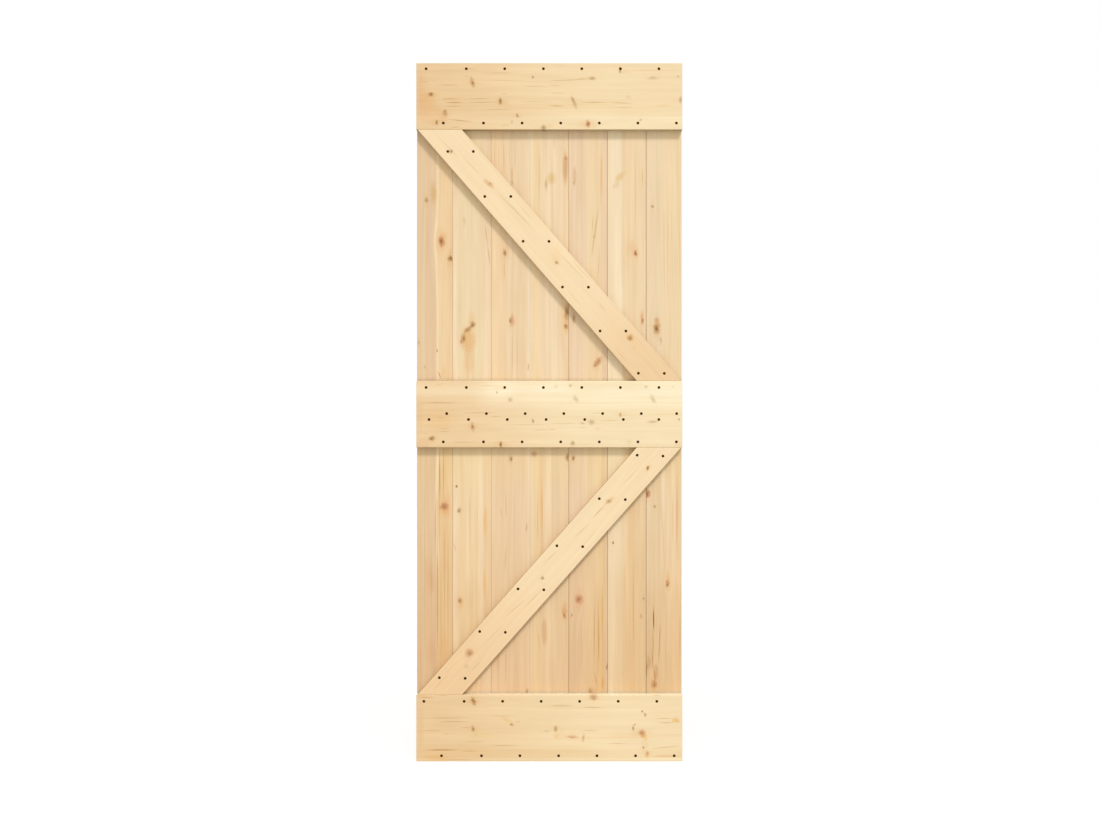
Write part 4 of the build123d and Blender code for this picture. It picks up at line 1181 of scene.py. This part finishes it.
PITHS = [(95.0, 38.0), (-120.0, 60.0), (84.0, -46.0), (-70.0, 66.0), (118.0, 30.0), (-92.0, -40.0), (-76.0, 70.0)]
TONES = [(1.0, 1.0, 1.0), (1.01, 1.01, 1.04), (1.02, 1.02, 1.04), (1.025, 1.04, 1.09), (1.015, 1.026, 1.10),
         (1.01, 1.04, 1.08), (1.025, 1.05, 1.10)]
ALL = (-100.0, 2200.0)
UP = (1100.0, 2200.0)
LOW = (-100.0, 950.0)
BANDS = [
    [(-420, -342, 4, 1.5, *ALL, "pinkish", 1.0), (-383, -371, 3, 3, *ALL, "green", 0.7),
     (-370, -350, 4, 4, 1000, 1700, "pinkish", 0.4), (-341, -334, 1, 2, 640, 1800, "cream", 0.8), (-318, -306, 2, 2, 1150, 1420, "cream", 0.6),
     (-333, -280, 2, 4, *UP, "peach", 0.8), (-333, -280, 2, 4, *LOW, "orange", 0.48),
     (-372, -355, 4, 4, 330, 560, "tan", 0.7), (-342, -323, 3, 3, 240, 540, "tan", 0.55),
     (-370, -354, 4, 4, 600, 860, "tan", 0.4), (-331, -312, 3, 3, 600, 860, "tan", 0.4)],
    [(-287, -275, 1.5, 2, 1150, 1660, "cream", 0.7), (-288, -274, 1.5, 3, 300, 880, "cream", 0.5),
     (-288, -277, 2, 4, 560, 760, "white", 0.25), (-274, -204, 4, 8, *UP, "green", 0.9),
     (-274, -214, 4, 6, *LOW, "straw", 0.45), (-219, -160, 5, 3, 1150, 1520, "cream", 0.2),
     (-214, -203, 4, 3, 350, 940, "cream", 0.4),
     (-199, -180, 3, 3, 430, 900, "orange", 0.32), (-203, -176, 3, 2, 150, 260, "cream", 0.55),
     (-258, -188, 5, 5, 580, 870, "cream", 0.42), (-254, -236, 4, 4, 580, 870, "cream", 0.25),
     (-285, -275, 2, 3, 580, 870, "tan", 0.5)],
    [(-180, -132, 3, 6, *UP, "peach", 0.55), (-156, -142, 3, 3, 1150, 1420, "cream", 0.35), (-132, -50, 8, 3, *UP, "grey", 0.5),
     (-107, -101, 1.5, 1.5, 1140, 1310, "cream", 0.25), (-91, -84, 1.5, 1.5, 1140, 1340, "cream", 0.25),
     (-180, -50, 3, 3, *LOW, "pinkish", 0.5), (-107, -84, 3, 3, 600, 930, "cream", 0.25),
     (-70, -50, 4, 2, 200, 1420, "cream", 0.45), (-65.5, -55, 1, 1, *ALL, "white", 0.35), (-112, -68, 6, 6, 1230, 1380, "tan", 0.35)],
    [(-64, -55, 1, 1.5, *ALL, "white", 0.15), (-52, -29, 2, 3, *ALL, "straw", 0.6),
     (-29, -18, 3, 3, 650, 880, "orange", 0.5), (-8, 6, 3, 3, *ALL, "cream", 0.55), (9, 24, 3, 3, 1150, 1420, "cream", 0.5),
     (6, 40, 4, 5, *ALL, "grey", 0.5), (40, 70, 4, 3, *UP, "peach", 0.6), (-20, 70, 6, 3, *LOW, "tan", 0.3)],
    [(50, 109, 3, 10, *ALL, "pinkish", 0.45), (109, 157, 8, 4, *ALL, "straw", 0.5),
     (157, 185, 4, 3, *ALL, "pinkish", 0.5), (153, 165, 2.5, 2.5, 180, 900, "honey", 0.8), (50, 185, 3, 3, -100, 640, "tan", 0.45), (85, 113, 6, 6, 1480, 1620, "cream", 0.35),
     (137, 162, 5, 3, 225, 470, "tan", 0.55)],
    [(170, 221, 3, 5, *UP, "cream", 0.75), (226, 265, 6, 4, *ALL, "peach", 0.6),
     (170, 196, 2, 3, *LOW, "white", 0.40), (196, 222, 3, 5, *LOW, "cream", 0.35),
     (239, 300, 6, 3, *LOW, "tan", 0.7), (203, 248, 8, 8, 1330, 1420, "cream", 0.45),
     (176, 185, 2, 3, 225, 520, "tan", 0.45), (200, 233, 5, 5, 225, 520, "tan", 0.4)],
    [(285, 342, 3, 6, *ALL, "grey", 0.8), (342, 420, 6, 4, *UP, "straw", 0.3),
     (299, 334, 5, 5, *LOW, "tan", 0.5), (345, 370, 5, 5, *LOW, "tan", 0.45),
     (368, 420, 4, 4, *LOW, "orange", 0.2),
     (285, 303, 3, 4, 215, 470, "tan", 0.55), (313, 326, 3, 4, 215, 470, "tan", 0.5), (332, 352, 4, 4, 215, 480, "tan", 0.65),
     (364, 396, 4, 3, 215, 480, "tan", 0.5), (337, 344, 2, 2, 640, 860, "cream", 0.6), (354, 360, 2, 2, 640, 860, "cream", 0.4),
     (366, 373, 2, 2, 640, 860, "cream", 0.5), (379, 392, 2, 2, 640, 860, "tan", 0.45)],
]

for i in range(7):
    mid = (LEFTS[i] + RIGHTS[i]) / 2
    half_l, half_r = LEFTS[i] - mid, RIGHTS[i] - mid
    # painted shade strength in each joint bevel, none on the door's outer edges
    painted_shade = [0.0] + [j[2] for j in JOINTS] + [0.0]
    spec = dict(BOARD, seed=1.0 + i, pith=PITHS[i], edges=(half_l, half_r, painted_shade[i], painted_shade[i + 1]),
                # painted shade in the corners above the bottom and middle rails
                ledges=((200.0, "painted_shade"), (1144.0, "shade")),
                **{k: tuple(a * b for a, b in zip(BOARD[k], TONES[i])) for k in ("pale", "tan")})
    # the straw band from 880 to 1000 mm on every board is painted shade colour for the shadow under the middle rail
    mat = wood(f"pine_board_{i + 1}", (0.0, 1.0), (1.0, 0.0), mid, RAIL_T, spec, FEATURES.get(f"board_{i + 1}", []),
               BANDS[i] + [(LEFTS[i] - 9.0, RIGHTS[i] + 9.0, 3, 3, 880, 1000, "straw", 0.5)])
    board_mesh(i, mat)

# painted shade tint for the rails' edge faces
SIDE_SHADE = (0.74, 0.74, 0.72)
# edge tints per rail: painted shade below and above, and a painted highlight on the bottom rail's top face
RAIL_SPECS = {
    "top_rail": dict(RAIL, seed=11.0, pith=(-150.0, 60.0), painted_side_light=(SIDE_SHADE, (0.9, 0.9, 0.9))),
    "middle_rail": dict(RAIL, seed=12.0, pith=(140.0, 90.0), painted_side_light=(SIDE_SHADE, SIDE_SHADE)),
    "bottom_rail": dict(RAIL, seed=13.0, pith=(-60.0, 110.0), painted_side_light=(SIDE_SHADE, (1.09, 1.19, 1.36))),
}
RAIL_BANDS = {
    "top_rail": [(1920, 1940, 4, 6, -330, 420, "cream", 0.45), (1890, 1935, 4, 12, 0, 500, "cream", 0.2),
                 (1957, 1979, 5, 5, -420, 420, "tan", 0.25), (1960, 1976, 4, 4, -130, 170, "tan", 0.35)],
    "middle_rail": [(930, 1160, 4, 4, -500, 500, "cream", 0.35), (1064, 1160, 16, 4, -160, 500, "cream", 0.95),
                    (1096, 1160, 8, 4, -500, -160, "cream", 0.8), (1108, 1160, 6, 2, -125, 20, "white", 0.35),
                    (1100, 1160, 6, 2, 340, 420, "cream", 0.5), (1082, 1117, 5, 5, -420, 420, "cream", 0.25),
                    (1075, 1081, 1.5, 1.5, -420, 420, "tan", 0.35), (930, 955, 2, 6, -500, 500, "tan", 0.35),
                    (1127, 1160, 8, 2, -500, 500, "tan", 0.4)],
    "bottom_rail": [(-20, 60, 4, 20, -500, 100, "tan", 0.30), (19, 37, 4, 4, -420, 420, "tan", 0.4),
                    (11, 18, 2, 2, -420, 420, "tan", 0.35), (5, 10, 2, 2, -420, 420, "cream", 0.35)],
}
for k, (node, (z0, z1)) in enumerate(RAILS.items()):
    mat = wood(f"pine_{node}", (1.0, 0.0), (0.0, 1.0), (z0 + z1) / 2, 0.0, RAIL_SPECS[node],
               FEATURES.get(node, []), RAIL_BANDS[node])
    screws = [s for row, line in ROWS.items() if row.startswith(node) for s in line]
    plank_mesh(f"pine_{node}", [(-400.0, z0), (400.0, z0), (400.0, z1), (-400.0, z1)], screws, mat,
               node, (1.0, 0.0), 11 + k)

# each brace's two edge faces get a painted shade tint
BRACE_SPECS = {
    "upper_brace": dict(BRACE, seed=21.0, pith=(90.0, 70.0), painted_side_light=((0.86, 0.85, 0.83), (0.52, 0.53, 0.54)),
                        warm=(-1050.0, -640.0, (0.93, 0.85, 0.77))),
    "lower_brace": dict(BRACE, seed=22.0, pith=(-80.0, 60.0), painted_side_light=((0.62, 0.62, 0.62), (0.62, 0.63, 0.63)),
                        warm=(520.0, -80.0, (0.93, 0.83, 0.745))),
}
for k, (node, (lower, upper)) in enumerate(BRACES.items()):
    run = Vector(upper) - Vector(lower)
    along = run.normalized()
    if along.x < 0:
        along = -along
    cross = Vector((-along.y, along.x))
    corners = [lower, (lower[0] + CUT, lower[1]), (upper[0] + CUT, upper[1]), upper]
    mid = sum(Vector(c).dot(cross) for c in corners) / 4
    mat = wood(f"pine_{node}", tuple(along), tuple(cross), mid, 0.0, BRACE_SPECS[node], FEATURES.get(node, []), [])
    screws = [s for row, line in ROWS.items() if row.startswith(node) for s in line]
    plank_mesh(f"pine_{node}", corners, screws, mat, node, tuple(along), 21 + k, 0.5)

steel = screw_material()
for node, line in ROWS.items():
    screw_mesh(f"steel_{node}", line, steel, node)
